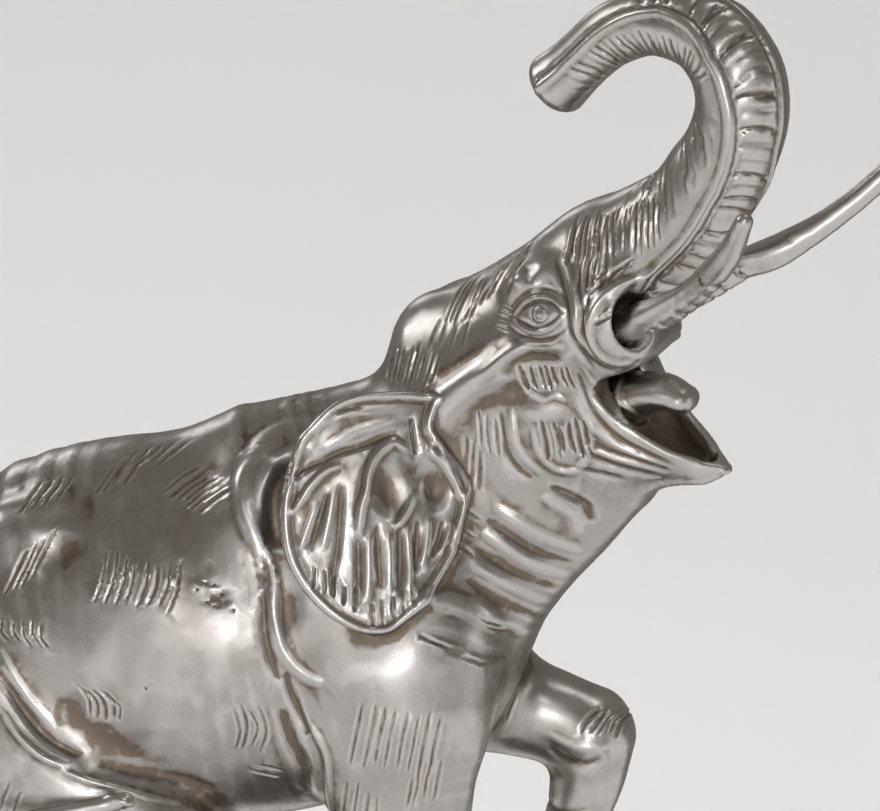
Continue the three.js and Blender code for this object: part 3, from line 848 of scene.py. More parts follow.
def noise(p, size, seed):
    """Smooth noise between -1 and 1, with lumps about that size."""
    table = np.random.default_rng(seed).uniform(-1, 1, 4096)
    q = p / size
    cell = np.floor(q).astype(np.int64)
    t = q - cell
    t = t * t * (3 - 2 * t)
    total = np.zeros(len(p))
    for corner in CORNERS:
        x, y, z = (cell + corner).T
        weight = np.prod(np.where(corner, t, 1 - t), axis=1)
        total += weight * table[(x * 73856093 ^ y * 19349663 ^ z * 83492791) & 4095]
    return total


PITS = [
    [17, 326], [21, 329], [25, 328], [29, 324], [31, 320],
    [26, 318], [22, 320], [35, 316], [-8, 277], [70, 236],
]

# On the sides of the body u is x and v is z.
body_side = (
    # The edge of the shoulder blade, down behind the ear to the elbow, and the valley in front of it.
    ridge([[74, 404], [54, 399], [41, 391], [36, 380], [38, 366], [44, 352], [51, 338]], 7, 2.2)
    + groove([[76, 394], [62, 386], [54, 375], [53, 362], [57, 345]], 8, 2.6)
    + ridge([[51, 345], [54, 326], [56, 308], [60, 294], [70, 284], [80, 280]], 5, 1.7)
    + groove([[49, 326], [50, 308], [53, 292], [58, 280]], 4, 1.2)
    + groove([[60, 286], [63, 274], [68, 262], [72, 254]], 4, 1.8)
    + ridge([[67, 272], [71, 260], [76, 253], [80, 243], [80, 228], [79, 210], [80, 190]], 3, 1.3)
    + groove([[58, 268], [62, 250], [67, 236], [66, 218]], 6, 1.6)
    # The skin of the flank, folded over the top of the thigh.
    + ridge([[-84, 268], [-74, 254], [-65, 245], [-57, 240], [-46, 236]], 2.6, 1.3)
    + ridge([[-52, 236], [-38, 230], [-22, 225], [-8, 220], [6, 215]], 2.4, 1.1)
    + groove([[-84, 284], [-74, 270], [-64, 257], [-54, 248], [-40, 241]], 5, 2.4)
    + groove([[-34, 238], [-16, 233], [4, 228], [24, 222]], 5, 1.0)
    + ridge([[-84, 296], [-76, 282], [-66, 268], [-54, 256]], 4, 1.0)
    # Tool strokes on the back and the flank.
    + strokes([-32, 331], [6, 327], 8, [5, 25], bend=-0.07)
    + strokes([4, 374], [24, 368], 7, [19, 14], bend=0.04)
    + strokes([-20, 384], [-4, 386], 4, [12, 10], depth=0.3)
    + strokes([-36, 374], [-22, 380], 4, [9, 15], depth=0.35)
    + strokes([-72, 366], [-56, 370], 4, [6, 12], depth=0.45)
    + strokes([-76, 330], [-62, 340], 4, [12, 25], depth=0.45)
    + strokes([-80, 303], [-58, 301], 5, [-5, 13], bend=0.15, depth=0.55)
    + strokes([-40, 270], [-24, 266], 5, [-6, 15], bend=-0.2, depth=0.6)
    + strokes([34, 256], [46, 256], 4, [1, 24], bend=-0.14, depth=0.55)
    + strokes([47, 231], [50, 234], 2, [13, -4], depth=0.5)
    + strokes([96, 256], [134, 250], 8, [7, 34], depth=0.5)
    + strokes([120, 226], [134, 232], 4, [4, 20], depth=0.4)
    + strokes([88, 220], [104, 214], 4, [5, 24], depth=0.4)
    + strokes([134, 302], [152, 290], 4, [15, -7], depth=0.45)
    + strokes([-128, 330], [-100, 346], 6, [8, 20], depth=0.45)
    + strokes([-148, 296], [-124, 300], 5, [4, 20], depth=0.45)
    + strokes([-118, 258], [-98, 250], 5, [8, 20], depth=0.45)
    + strokes([-40, 200], [-20, 190], 4, [8, 18], depth=0.45)
    + strokes([-92, 226], [-74, 216], 4, [8, 18], depth=0.4)
    # Soft hollows of a hand-worked surface.
    + [Dent([28, 322], [9, 6], -1.0), Dent([17, 327], [5, 4], 0.8), Dent([4, 330], [4, 4], 0.7)]
    + [Dent([-66, 352], [12, 12], 1.2), Dent([-50, 340], [22, 14], -1.4), Dent([-10, 352], [30, 18], -1.2)]
    + [Dent([62, 316], [10, 16], -1.2), Dent([128, 320], [20, 12], 1.5), Dent([104, 300], [30, 18], -0.8)]
    # Casting pits.
    + [Dent([x, z], [1.1, 1.1], -0.9) for x, z in PITS]
)

# Folds round the throat, from the side of the neck to its front.
throat_folds = (
    ridge([[160, 366], [172, 358], [184, 350], [202, 342]], 5, 1.3)
    + groove([[156, 360], [168, 351], [180, 343], [198, 335]], 4, 1.1)
    + ridge([[154, 354], [166, 345], [180, 335], [196, 328]], 5, 1.3)
    + groove([[150, 346], [163, 337], [177, 328], [190, 321]], 4, 1.0)
    + ridge([[148, 340], [161, 330], [174, 321], [186, 313]], 4.5, 1.1)
    + groove([[146, 331], [159, 321], [171, 312], [182, 304]], 4, 0.9)
    + ridge([[148, 322], [158, 313], [168, 304], [176, 296]], 4, 0.8)
    + strokes([158, 308], [161, 304], 2, [9, -5], depth=0.4)
    + strokes([150, 362], [146, 344], 3, [8, -6], depth=0.35)
    + ridge([[120, 324], [136, 321], [150, 315], [164, 303]], 7, 1.4)
    + groove([[124, 306], [140, 302], [154, 294], [164, 286]], 5, 0.8)
)

# The raised foreleg's knee and the wrinkles about it.
raised_knee = (
    strokes([199, 245], [216, 241], 5, [8, 11], depth=0.6, bend=0.1)
    + groove([[178, 230], [186, 224], [196, 222], [206, 226]], 4, 1.2)
    + ridge([[176, 238], [186, 233], [198, 230], [210, 232]], 4, 0.9)
    + groove([[172, 200], [184, 196], [198, 198]], 3, 0.7)
    + groove([[170, 192], [182, 188], [194, 189]], 3, 0.7)
    + groove([[166, 172], [178, 168], [192, 171]], 3, 0.7)
    + strokes([130, 250], [160, 250], 6, [6, 16], depth=0.4)
)


def wrinkles(x, z, half, drop, count):
    """Short level wrinkles across a leg, one below another."""
    rows = []
    for k in range(count):
        level = z - drop * k
        sway = chance.normal(0, 1.2, 3)
        path = [[x - half, level + sway[0]], [x, level - 1.5 + sway[1]], [x + half, level + sway[2]]]
        rows += groove(path, 2.2, 0.55)
    return rows


standing_legs = (
    wrinkles(112, 178, 26, 8, 3)
    + wrinkles(110, 92, 24, 7, 5)
    + wrinkles(-10, 92, 24, 7, 5)
    + wrinkles(2, 160, 24, 8, 3)
    + strokes([100, 140], [122, 136], 4, [3, 22], depth=0.35)
    + strokes([-16, 124], [2, 130], 4, [3, 20], depth=0.35)
)
far_hind_leg = wrinkles(-146, 92, 22, 7, 5) + wrinkles(-126, 166, 22, 8, 3)

# On the sides of the head u is x and v is z, in the head's own frame.
head_side = (
    # The eye: two lids, the ball between them, and the rings of skin about them.
    ridge([[48, 56], [54, 62.5], [62, 67], [71, 66.5], [79, 61]], 1.9, 1.3)
    + ridge([[48, 56], [54, 52], [62, 50], [71, 53], [79, 61]], 1.9, 1.2)
    + groove([[51, 56.5], [56, 61.5], [63, 64.5], [71, 64], [76, 60.5]], 1.5, 1.0)
    + groove([[51, 56.5], [56, 53.5], [63, 52.5], [70, 55], [76, 60.5]], 1.5, 0.9)
    + ring([64, 58.7], [4.4, 4.2], 1.1, -0.7)
    + ring([64, 58.7], [2.0, 2.0], 1.0, -0.5)
    + [Dent([64, 58.7], [5, 5], 0.8)]
    + groove([[46, 60], [53, 67], [62, 71], [72, 70.5], [80, 66]], 1.6, 0.8)
    + groove([[46, 52], [54, 48], [63, 46.5], [72, 48.5], [80, 54]], 1.6, 0.7)
    + groove([[50, 46], [58, 43.5], [68, 43.5], [77, 47]], 1.5, 0.5)
    + strokes([44, 60], [42, 50], 4, [9, -2], width=1.2, depth=0.4)
    # The brow and the temple.
    + [Dent([52, 75], [6, 6], 1.6), Dent([61, 73], [5, 5], 1.4), Dent([57, 80], [7, 4], -0.9)]
    + groove([[44, 66], [47, 73], [48, 82], [46, 90]], 2.2, 0.8)
    + groove([[69, 85], [74, 77], [79, 63], [81, 51], [86, 41], [90, 32]], 3, 1.5)
    + ridge([[73, 86], [79, 78], [84, 65], [85, 53], [89, 43], [93, 36]], 2.5, 0.9)
    + groove([[81, 86], [86, 70], [89, 55], [91, 45], [95, 38]], 2.2, 1.0)
    + groove([[86, 84], [90, 70], [91, 58]], 1.8, 0.6)
    + strokes([30, 68], [44, 80], 4, [7, 18], depth=0.6)
    + strokes([8, 58], [24, 62], 5, [2, 22], depth=0.45)
    + strokes([-25, 28], [5, 28], 8, [4, 18], depth=0.55)
    + strokes([2, 44], [20, 46], 4, [3, 14], depth=0.35)
    # The cheekbone, and the hollow below it.
    + ridge([[30, 26], [38, 31], [45, 37.5], [55, 43], [66, 45], [78, 43]], 4.5, 1.5)
    + groove([[44, 28], [52, 34.5], [62, 37], [74, 37]], 5, 1.8)
    # Flutes on the cheek, in two bunches, and the full cheek below them.
    + strokes([54, 26], [76, 27], 7, [-2, 13], depth=0.8, bend=0.06)
    + ridge([[50, 28], [53, 20], [60, 15.5], [67, 17], [72, 14]], 2.6, 1.0)
    + [Dent([62, 26], [13, 9], -1.2), Dent([61, 9], [14, 7], 1.4)]
    + strokes([60, -6], [80, -5], 6, [-1, 19], depth=0.9)
    + ridge([[55, 2], [57, -12], [64, -22], [73, -21], [80, -10], [83, 3]], 3, 1.3)
    + [Dent([69, -5], [10, 12], -1.4)]
    + groove([[40, 10], [41, -6], [45, -18], [52, -26]], 3, 1.0)
    + ridge([[45, 12], [46, -4], [50, -15], [57, -24]], 3, 1.0)
    + strokes([30, 0], [38, -4], 3, [-1, 24], depth=0.5)
    + strokes([22, -14], [30, -20], 3, [2, 24], depth=0.4)
    # The lips and the corner of the mouth.
    + ridge([[84, 34], [86, 24], [88, 15], [93, 7], [101, -1], [109, -8], [118, -14], [130, -19]], 2.6, 1.2)
    + groove([[80, 30], [82, 18], [86, 6], [94, -5], [106, -13], [120, -20]], 2.8, 1.3)
    + ridge([[77, 18], [80, 6], [88, -6], [100, -14], [114, -21]], 3, 1.0)
    # Folds from the chin back under the jaw.
    + groove([[78, -4], [88, -12], [102, -17], [117, -23]], 2.4, 1.0)
    + groove([[74, -12], [85, -18], [98, -23], [112, -27]], 2.4, 1.0)
    + groove([[70, -20], [80, -24], [92, -28]], 2.4, 1.0)
    + ridge([[76, -8], [87, -15], [100, -20], [114, -25]], 2.4, 0.7)
    + groove([[58, -30], [66, -36], [71, -42], [72, -52]], 3.4, 2.0)
    + ridge([[54, -34], [61, -41], [66, -48], [66, -58]], 4, 1.0)
    # The rolled lip of skin round the root of the tusk.
    + ridge(
        [[122, 82], [111, 76], [102, 72.5], [96, 66], [92.5, 57],
         [92.5, 47], [96, 39], [104, 35], [112, 38]], 4, 2.0
    )
    + groove([[112, 84], [101, 79], [92, 70], [87.5, 57], [87.5, 46], [91, 36], [100, 29]], 2.4, 1.0)
    + strokes([103, 60], [110, 66], 3, [16, 8], depth=0.6)
    + strokes([96, 78], [108, 84], 5, [8, 6], width=1.1, depth=0.3)
    # Long strokes on the root of the trunk.
    + strokes([74, 92], [98, 98], 8, [-3, 22], depth=0.7)
    + strokes([84, 78], [96, 82], 4, [-1, 16], depth=0.5)
    + strokes([100, 98], [124, 104], 8, [-1, 25], depth=0.6)
)

# The ear, as [back, down] from its root, on its outer side.
ear_face = (
    ridge([[74, 23], [66, 10], [58, 3.5], [48, 1.5], [36, 3]], 2.6, 0.9)
    + ridge([[62, 17], [53, 13], [46, 11], [37, 9.5], [25, 8]], 4, 1.2)
    + groove([[82, 30], [73, 26], [66, 23], [56, 20], [43, 18], [35, 16], [24, 14]], 3.4, 1.5)
    + ridge([[83, 47], [76, 40], [71, 34], [63, 28], [54, 26]], 3, 1.7)
    + ridge(
        [[52, 64], [50, 54], [48, 47], [44.5, 40], [42, 32],
         [38, 25], [32, 20.5], [27, 19], [21, 24]], 4, 2.6
    )
    + ridge([[6, 19], [9, 26], [4, 31], [0, 39], [-2.5, 48], [-3, 56], [1, 65], [8, 74]], 4, 2.4)
    + [Dent([34, 42], [11, 17], -3.0), Dent([10, 45], [9, 14], -3.0), Dent([20, 34], [12, 10], -1.2)]
    + ridge([[20, 44], [23, 50], [29, 57], [34, 61]], 3.2, 1.9)
    + groove([[17, 8], [17.5, 16], [17, 27]], 2.0, 2.4)
    + groove([[56, 34], [59, 50], [64, 70], [69, 84]], 3.2, 1.2)
    + ridge([[60, 36], [65, 52], [70, 66]], 2.8, 1.0)
    + groove([[64, 38], [70, 52], [76, 66]], 2.8, 1.1)
    + ridge([[69, 42], [75, 54], [80, 64]], 2.6, 1.0)
    + groove([[52, 60], [54, 76], [57, 96]], 3.2, 1.3)
    + ridge([[47, 62], [49, 78], [52, 94]], 3.2, 1.1)
    + groove([[42, 56], [43.5, 72], [45, 90]], 3.2, 1.4)
    + ridge([[37, 62], [38, 76], [41, 92]], 3, 1.1)
    + groove([[31, 60], [33, 76], [36, 94]], 3, 1.4)
    + ridge([[27, 60], [28, 76], [31, 92]], 3, 1.3)
    + groove([[21, 58], [23, 70], [26, 84]], 2.8, 1.2)
    + ridge([[15, 58], [18, 70], [22, 80]], 2.8, 1.2)
    + groove([[8, 60], [12, 70], [17, 78]], 2.6, 1.2)
    + ridge([[3, 62], [8, 70], [13, 77]], 2.4, 1.1)
    + strokes([58, 92], [76, 78], 5, [2, 12], depth=0.7)
    + strokes([30, 96], [50, 101], 5, [1, 12], depth=0.6)
)

# Along the trunk u is the distance along it, and v is the angle from its underside to the right, in degrees.
# The trunk is twisted, so that its ribbed underside, between the two ridges, turns to the right as it rises.
TRUNK_NEAR_RIDGE = np.array([
    [118, 48], [130, 52], [161, 60], [185, 61], [207, 70], [228, 80], [248, 82], [264, 66], [279, 56],
    [294, 64], [317, 78], [334, 82], [352, 82],
])
TRUNK_FAR_RIDGE = np.array([
    [118, -54], [130, -52], [160, -40], [190, -14], [208, 4], [227, 6], [246, 6], [262, 0], [280, -12],
    [300, -28], [330, -60], [352, -80],
])
RIB_SPACING = 6.2
INNER_RIB_SPACING = 4.6
TRUNK_STROKE_SPACING = 5.0


def trunk_height(p):
    """Ribs and ridges along the trunk, for points in the head's frame."""
    total = np.zeros(len(p))
    near = np.flatnonzero((box_distance(p, skull_and_trunk.low, skull_and_trunk.high) < 8) & (p[:, 0] > 55))
    if not len(near):
        return total
    span, along, x, y, z = skull_and_trunk.place(p[near])
    run = skull_and_trunk.travelled[span] + along * skull_and_trunk.length[span]
    outside = skull_and_trunk.radii[span].mean(1)
    on_trunk = ramp(run, 112, 128) * ramp(np.hypot(x, y) / outside, 0.55, 0.75)
    angle = np.degrees(np.arctan2(-x, -y))
    per_degree = outside * math.pi / 180
    near_ridge = np.interp(run, *TRUNK_NEAR_RIDGE.T)
    far_ridge = np.interp(run, *TRUNK_FAR_RIDGE.T)
    to_near = (angle - near_ridge) * per_degree
    to_far = (angle - far_ridge) * per_degree
    height = 1.5 * hump(to_near - 1.0, 4.0) - 0.8 * hump(to_near + 2.6, 1.8)
    height += 1.0 * hump(to_far, 3.0) - 0.6 * hump(to_far - 2.2, 1.8)

    inside_band = ramp(to_far, 2.0, 4.5) * ramp(-to_near, 3.0, 5.5)
    middle = (angle - (near_ridge + far_ridge) / 2) / np.maximum(near_ridge - far_ridge, 1)
    sway = noise(np.stack([run * 0.6, angle * 0.12, run * 0], 1), 4, 3) * 1.4
    phase = (run + 16 * middle**2 + sway) / RIB_SPACING
    rib = np.abs(phase - np.round(phase)) * RIB_SPACING
    which = np.round(phase)
    strength = 0.7 + 0.5 * np.sin(which * 2.4) + 0.2 * np.sin(which * 5.1)
    height -= 1.1 * strength * inside_band * hump(rib, 1.9) * (1 - ramp(run, 284, 300))

    # The top of the trunk, which is the inside of the curl, is ribbed too, on both sides.
    inner = ramp(np.abs(angle), 92, 102) * (1 - ramp(np.abs(angle), 158, 176)) * ramp(run, 232, 250)
    phase = (run + sway * 1.2 + np.abs(angle) * 0.05) / INNER_RIB_SPACING
    rib = np.abs(phase - np.round(phase)) * INNER_RIB_SPACING
    strength = 0.7 + 0.4 * np.sin(np.round(phase) * 1.9)
    height -= 0.8 * inner * hump(rib, 1.5) * (1 - ramp(run, 338, 346)) * strength

    # Lower down, that side carries long strokes across it.
    lower = ramp(np.abs(angle), 84, 96) * (1 - ramp(run, 205, 225)) * ramp(run, 132, 150)
    phase = (run * 0.75 - np.abs(angle) * 0.30 + sway * 1.5) / TRUNK_STROKE_SPACING
    rib = np.abs(phase - np.round(phase)) * TRUNK_STROKE_SPACING
    strength = 0.5 + 0.5 * np.sin(np.round(phase) * 2.2 + angle * 0.05)
    height -= 0.55 * lower * hump(rib, 1.6) * strength
    total[near] = height * on_trunk
    return total


def add_lines(total, lines, u, v, weight):
    """Adds the lines' heights at (u, v), times the weight, where there is any."""
    rows = np.flatnonzero(weight > 0.01)
    if not len(rows):
        return
    part = np.zeros(len(rows))
    uv = np.stack([u[rows], v[rows]], 1)
    for line in lines:
        line.add(part, uv)
    total[rows] += part * weight[rows]


def ear_height(plate, q, m):
    """The rolled rim, the bowl and the flutes of an ear, on its outer side. m are the normals."""
    total = np.zeros(len(q))
    near = np.flatnonzero(np.linalg.norm(q - plate.root, axis=1) < plate.reach + 4)
    if not len(near):
        return total
    back, down, out = plate.place(q[near])
    proud = out - plate.bow(back, down)
    inset = -outline_distance(plate.edge, back, down)
    weight = ramp(proud, -0.5, 2.0) * ramp(m[near] @ plate.out, 0.0, 0.5)
    weight *= 1 - ramp(proud, 6, 10)
    weight *= ramp(inset, -2, 0)
    rim = 1.3 * hump(inset - 1.6, 2.6) - 0.6 * hump(inset - 5.2, 2.2)
    bowl = -2.2 * ramp(inset, 4, 22)
    part = (rim + bowl) * weight
    add_lines(part, ear_face, back, down, weight * ramp(inset, 0.5, 4))
    total[near] = part
    return total


FEET = [(112, -42, 0, 1.0), (-5, -42, 0, 1.0), (-140, 42, 0, 1.0), (174, 45, 108, 0.8)]
NAIL_ANGLES = [-64, -32, 0, 32, 64]


def toenails(p):
    """Five nails round the front of each foot: x, y, height of the sole less the base's, and size."""
    total = np.zeros(len(p))
    for x, y, lift, size in FEET:
        d = p - [x, y, GROUND + lift]
        beside = np.hypot(d[:, 0], d[:, 1]) < 42 * size
        near = np.flatnonzero(beside & (d[:, 2] < 34 * size) & (d[:, 2] > -2))
        if not len(near):
            continue
        angle = np.degrees(np.arctan2(d[near, 1], d[near, 0]))
        level = d[near, 2] / size
        for nail in NAIL_ANGLES:
            across = (angle - nail) / 13
            down = (level - 7) / 9
            edge = np.hypot(across, down)
            total[near] += size * (1.5 * ramp(1 - edge, 0, 0.25) - 0.8 * hump(edge - 1.12, 0.18))
    return total


def relief(p, n):
    """All that the chasing adds to the smooth figure at points p with normals n."""
    total = 0.7 * noise(p, 34, 1) + 0.35 * noise(p, 15, 2) + 0.10 * noise(p, 6, 4)
    total *= ramp(p[:, 2], GROUND, GROUND + 8)
    q = to_head(p)
    m = n @ HEAD_TURN
    for side in (-1, 1):
        facing = ramp(n[:, 1] * side, -0.05, 0.35)
        behind_ears = 1 - ramp(p[:, 2], 404, 416)
        on_body = facing * ramp(p[:, 1] * side, 12, 26) * behind_ears * (1 - ramp(p[:, 0], 150, 170))
        add_lines(total, body_side, p[:, 0], p[:, 2], on_body)
        on_throat = ramp(n[:, 1] * side, -0.2, 0.1) * ramp(p[:, 1] * side, -14, 4)
        on_throat *= ramp(p[:, 0], 112, 130)
        add_lines(total, throat_folds, p[:, 0], p[:, 2], on_throat * (q[:, 2] < -20))
        cheeks = ramp(m[:, 1] * side, 0.0, 0.3) * ramp(q[:, 1] * side, 2, 10)
        cheeks *= 1 - ramp(q[:, 1] * side, 47, 58)
        cheeks *= (q[:, 2] > -62) & (q[:, 0] > -48) & (q[:, 0] < 138)
        add_lines(total, head_side, q[:, 0], q[:, 2], cheeks)
    leg = ramp(p[:, 1], -90, -80) * (1 - ramp(p[:, 1], -6, 0)) * ramp(p[:, 0], -60, -40)
    add_lines(total, standing_legs, p[:, 0], p[:, 2], leg)
    leg = ramp(p[:, 1], 6, 12) * (p[:, 0] < -60)
    add_lines(total, far_hind_leg, p[:, 0], p[:, 2], leg)
    leg = ramp(p[:, 1], 8, 14) * ramp(p[:, 0], 118, 135) * (p[:, 2] < 280)
    add_lines(total, raised_knee, p[:, 0], p[:, 2], leg)
    total += trunk_height(q)
    total += ear_height(ear_right, q, m) + ear_height(ear_left, q, m)
    return total + toenails(p)


def relief_everywhere(p, n, chunk=20000):
    """The relief, worked out a chunk at a time on all cores."""
    starts = range(0, len(p), chunk)
    with ThreadPoolExecutor() as pool:
        return np.concatenate(list(pool.map(lambda i: relief(p[i : i + chunk], n[i : i + chunk]), starts)))


# ---------- The figure ----------


def elephant_skin():
    """The chased figure, as an object with its recesses marked at the vertices."""
    low = FIGURE_LOW - GRID_MARGIN
    high = FIGURE_HIGH + GRID_MARGIN
    axes = [planes(low[k], high[k], HEAD_LOW[k], HEAD_HIGH[k]) for k in range(3)]
    vertices, quads = surface_nets(figure_distance, axes)
    triangles = triangulate(vertices, quads)
    for tolerance in ROUGHNESS_LEFT:
        vertices, triangles = split_where_rough(vertices, triangles, relief_everywhere, tolerance)
    normals = vertex_normals(vertices, triangles)
    vertices += normals * relief_everywhere(vertices, normals)[:, None]
    vertices[:, 2] = np.maximum(vertices[:, 2], GROUND)

    normals = vertex_normals(vertices, triangles)
    edges, _ = edges_of(triangles)
    narrow = relax(vertices, edges, RECESS_ROUNDS)
    wide = relax(narrow, edges, HOLLOW_ROUNDS)
    fine_recess = np.einsum("ij,ij->i", narrow - vertices, normals)
    broad_recess = np.einsum("ij,ij->i", wide - vertices, normals)
    figure = make_mesh("elephant_skin", vertices, triangles)
    mark(figure, "recess", np.clip(fine_recess / FULL_RECESS, -1, 1))
    mark(figure, "hollow", np.clip(broad_recess / FULL_HOLLOW, -1, 1))
    thin_out(figure, FIGURE_TRIANGLES)
    return figure


def mark(piece, name, values):
    """A number at each vertex, which the material reads."""
    attribute = piece.data.attributes.new(name, "FLOAT", "POINT")
    attribute.data.foreach_set("value", values.astype(np.float32))


figure = elephant_skin()
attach(figure, "root")
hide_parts("elephant")

# ---------- Material ----------


class Nodes:
    """Builds a material's nodes by short calls. A value is a number, a colour or another node's output."""

    def __init__(self, material):
        self.tree = material.node_tree

    def put(self, socket, value):
        if isinstance(value, bpy.types.NodeSocket):
            self.tree.links.new(value, socket)
        else:
            socket.default_value = value

    def add(self, kind, **values):
        node = self.tree.nodes.new(kind)
        for name, value in values.items():
            if name in node.bl_rna.properties:
                setattr(node, name, value)
            else:
                self.put(node.inputs[name.replace("_", " ").title()], value)
        return node

    def attribute(self, name):
        return self.add("ShaderNodeAttribute", attribute_name=name).outputs["Fac"]

    def math(self, operation, a, b=0.0):
        node = self.add("ShaderNodeMath", operation=operation)
        self.put(node.inputs[0], a)
        self.put(node.inputs[1], b)
        return node.outputs[0]

    def span(self, value, low, high, to_low=0.0, to_high=1.0):
        """The value, taken smoothly from low..high to to_low..to_high and held there."""
        node = self.add("ShaderNodeMapRange", interpolation_type="SMOOTHSTEP")
        for socket, number in zip(node.inputs, (value, low, high, to_low, to_high)):
            self.put(socket, number)
        return node.outputs[0]

    def mix(self, amount, a, b):
        node = self.add("ShaderNodeMix", data_type="RGBA")
        self.put(node.inputs["Factor"], amount)
        self.put(node.inputs["A"], a)
        self.put(node.inputs["B"], b)
        return node.outputs["Result"]

    def noise(self, where, size, detail=2.0, roughness=0.5):
        """Noise with lumps about that size, in metres."""
        node = self.add("ShaderNodeTexNoise", detail=detail, roughness=roughness, scale=1 / size)
        self.put(node.inputs["Vector"], where)
        return node.outputs["Fac"]


SILVER = (0.50, 0.475, 0.455, 1)
WORN_SILVER = (0.66, 0.64, 0.62, 1)
PATINA = (0.20, 0.155, 0.115, 1)


def silvered_bronze():
    """Silver-toned bronze, bright on the ridges, brown and duller in the recesses, with casting pits."""
    material = bpy.data.materials.new("silvered_bronze")
    material.use_nodes = True
    nodes = Nodes(material)
    shader = material.node_tree.nodes["Principled BSDF"]
    where = nodes.add("ShaderNodeTexCoord").outputs["Object"]
    recess = nodes.attribute("recess")
    hollow = nodes.attribute("hollow")
    cloud = nodes.noise(where, 0.045, 3)
    mottle = nodes.noise(where, 0.007, 4, 0.6)

    grime = nodes.span(recess, 0.15, 1.0, 0.0, 0.75)
    depth = nodes.span(hollow, 0.15, 1.0, 0.0, 0.55)
    patina = nodes.math("ADD", grime, depth)
    patina = nodes.math("MULTIPLY", patina, nodes.span(mottle, 0.3, 0.65, 0.45, 1.15))
    patina = nodes.math("ADD", patina, nodes.span(cloud, 0.5, 0.75, 0.0, 0.22))
    patina = nodes.math("MINIMUM", patina, 0.92)
    worn = nodes.span(recess, -0.1, -0.9, 0.0, 0.85)
    metal = nodes.mix(worn, SILVER, WORN_SILVER)
    nodes.put(shader.inputs["Base Color"], nodes.mix(patina, metal, PATINA))
    shader.inputs["Metallic"].default_value = 1

    roughness = nodes.span(mottle, 0.25, 0.75, 0.25, 0.33)
    roughness = nodes.math("ADD", roughness, nodes.math("MULTIPLY", patina, 0.16))
    nodes.put(shader.inputs["Roughness"], roughness)

    grain = nodes.noise(where, 0.0016, 3, 0.6)
    pits = nodes.add("ShaderNodeTexVoronoi", scale=420.0)
    nodes.put(pits.inputs["Vector"], where)
    pit = nodes.span(pits.outputs["Distance"], 0.0, 0.16, -1.0, 0.0)
    pitted = nodes.span(nodes.noise(where, 0.018, 2), 0.56, 0.70)
    surface = nodes.math("ADD", nodes.math("MULTIPLY", grain, 0.5), nodes.math("MULTIPLY", pit, pitted))
    bump = nodes.add("ShaderNodeBump", distance=0.0003, strength=0.22)
    nodes.put(bump.inputs["Height"], surface)
    nodes.put(shader.inputs["Normal"], bump.outputs["Normal"])
    return material


bronze = silvered_bronze()
figure.data.materials.append(bronze)
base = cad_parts["base"]
base.data.materials[0] = bronze

# ---------- Stage, lights and camera ----------


def plain(name, colour):
    material = bpy.data.materials.new(name)
    material.use_nodes = True
    shader = material.node_tree.nodes["Principled BSDF"]
    shader.inputs["Base Color"].default_value = (*colour, 1)
    shader.inputs["Roughness"].default_value = 0.9
    return material


def paper_strip(name, profile):
    """White paper hung along a profile of (y, z) points, in metres."""
    rows = [[x, y, z] for y, z in profile for x in (-6.0, 6.0)]
    faces = np.array([[2 * k, 2 * k + 1, 2 * k + 3, 2 * k + 2] for k in range(len(profile) - 1)])
    piece = make_mesh(name, np.array(rows) / MM, faces)
    piece.data.materials.append(paper)
    return piece


def rear_profile(start, bend, radius, top):
    """The floor from start to bend, and the wall that it curves up into."""
    profile = [(start, 0.0), (bend, 0.0)]
    for k in range(1, 17):
        angle = k / 16 * math.pi / 2
        profile.append((bend + radius * math.sin(angle), radius - radius * math.cos(angle)))
    return profile + [(bend + radius, top)]


def panel(name, azimuth, elevation, distance, size, brightness, aim=(0.1, 0.0, 0.38), colour=(1, 1, 1)):
    """A soft light panel, azimuth degrees to the camera's right and that high, facing the sculpture."""
    light = bpy.data.lights.new(name, "AREA")
    light.shape = "RECTANGLE"
    light.size, light.size_y = size
    light.energy = brightness * math.pi * size[0] * size[1]
    light.color = colour
    lamp = bpy.data.objects.new(name, light)
    a = math.radians(azimuth) + CAMERA_AZIMUTH
    e = math.radians(elevation)
    offset = Vector((math.sin(a) * math.cos(e), -math.cos(a) * math.cos(e), math.sin(e))) * distance
    lamp.location = Vector(aim) + offset
    lamp.rotation_euler = (-offset).to_track_quat("-Z", "Y").to_euler()
    lamp.visible_camera = False
    bpy.context.collection.objects.link(lamp)
    return lamp


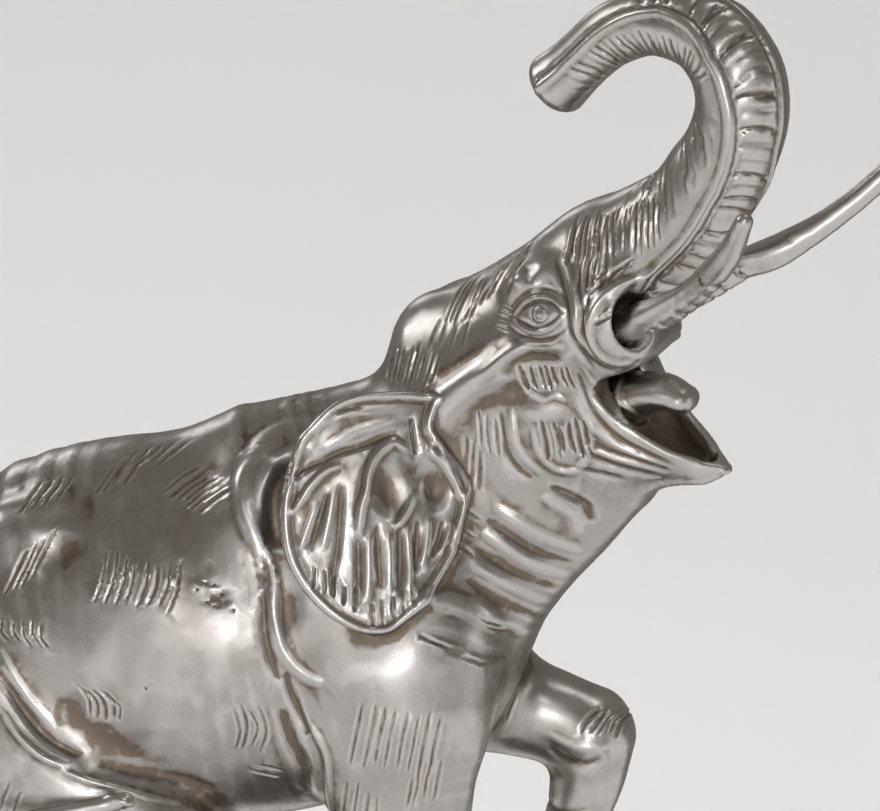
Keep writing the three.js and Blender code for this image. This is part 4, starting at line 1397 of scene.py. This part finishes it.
paper = plain("pale_paper", (0.85, 0.85, 0.85))
seam = 0.3  # the floor ends and the backdrop begins here, behind the sculpture
paper_strip("floor", [(-6.0, 0.0), (seam, 0.0)])
backdrop = paper_strip("backdrop", rear_profile(seam, bend=2.2, radius=0.8, top=5.0))
backdrop.visible_glossy = False  # the metal mirrors a dim room behind it, as in the light of one broad window

panel("front", 0, 0, 3.0, (4.2, 3.4), 0.36)
panel("halo", -4, 6, 2.7, (1.5, 1.3), 0.5)
panel("key", 0, 3, 2.5, (0.5, 0.5), 5.0)
panel("shoulder", 21, 24, 2.5, (0.35, 0.35), 3.5)
panel("left", -96, 36, 2.6, (1.1, 1.1), 2.4)
panel("right", 76, 0, 2.6, (0.8, 1.2), 0.7)
panel("high_right", 70, 70, 2.5, (0.9, 0.7), 1.4)
panel("behind", -157, 27, 3.0, (0.6, 0.5), 2.0)
# The next light stands beyond the wall, on its far side, and the one after it high over everything.
paper_light = panel("paper", 180, 50, 3.2, (4.0, 3.0), 10.0, aim=(0, 2.0, 0.3))
paper_light.visible_glossy = False
ceiling = panel("ceiling", 0, 89, 3.5, (5.0, 5.0), 1.2, aim=(0, 0, 0))
ceiling.visible_glossy = False

world = bpy.data.worlds.new("studio")
world.use_nodes = True
world.node_tree.nodes["Background"].inputs["Color"].default_value = (1.0, 0.9, 0.82, 1)
world.node_tree.nodes["Background"].inputs["Strength"].default_value = 0.2
bpy.context.scene.world = world
bpy.context.scene.view_settings.view_transform = "Standard"

camera_data = bpy.data.cameras.new("camera")
camera_data.lens = CAMERA_LENS
camera_data.sensor_width = 36
camera = bpy.data.objects.new("camera", camera_data)
look = Vector((
    -math.sin(CAMERA_AZIMUTH) * math.cos(CAMERA_ELEVATION),
    math.cos(CAMERA_AZIMUTH) * math.cos(CAMERA_ELEVATION),
    -math.sin(CAMERA_ELEVATION),
))
camera.location = CAMERA_TARGET - look * CAMERA_DISTANCE
camera.rotation_euler = look.to_track_quat("-Z", "Y").to_euler()
bpy.context.collection.objects.link(camera)
bpy.context.scene.camera = camera
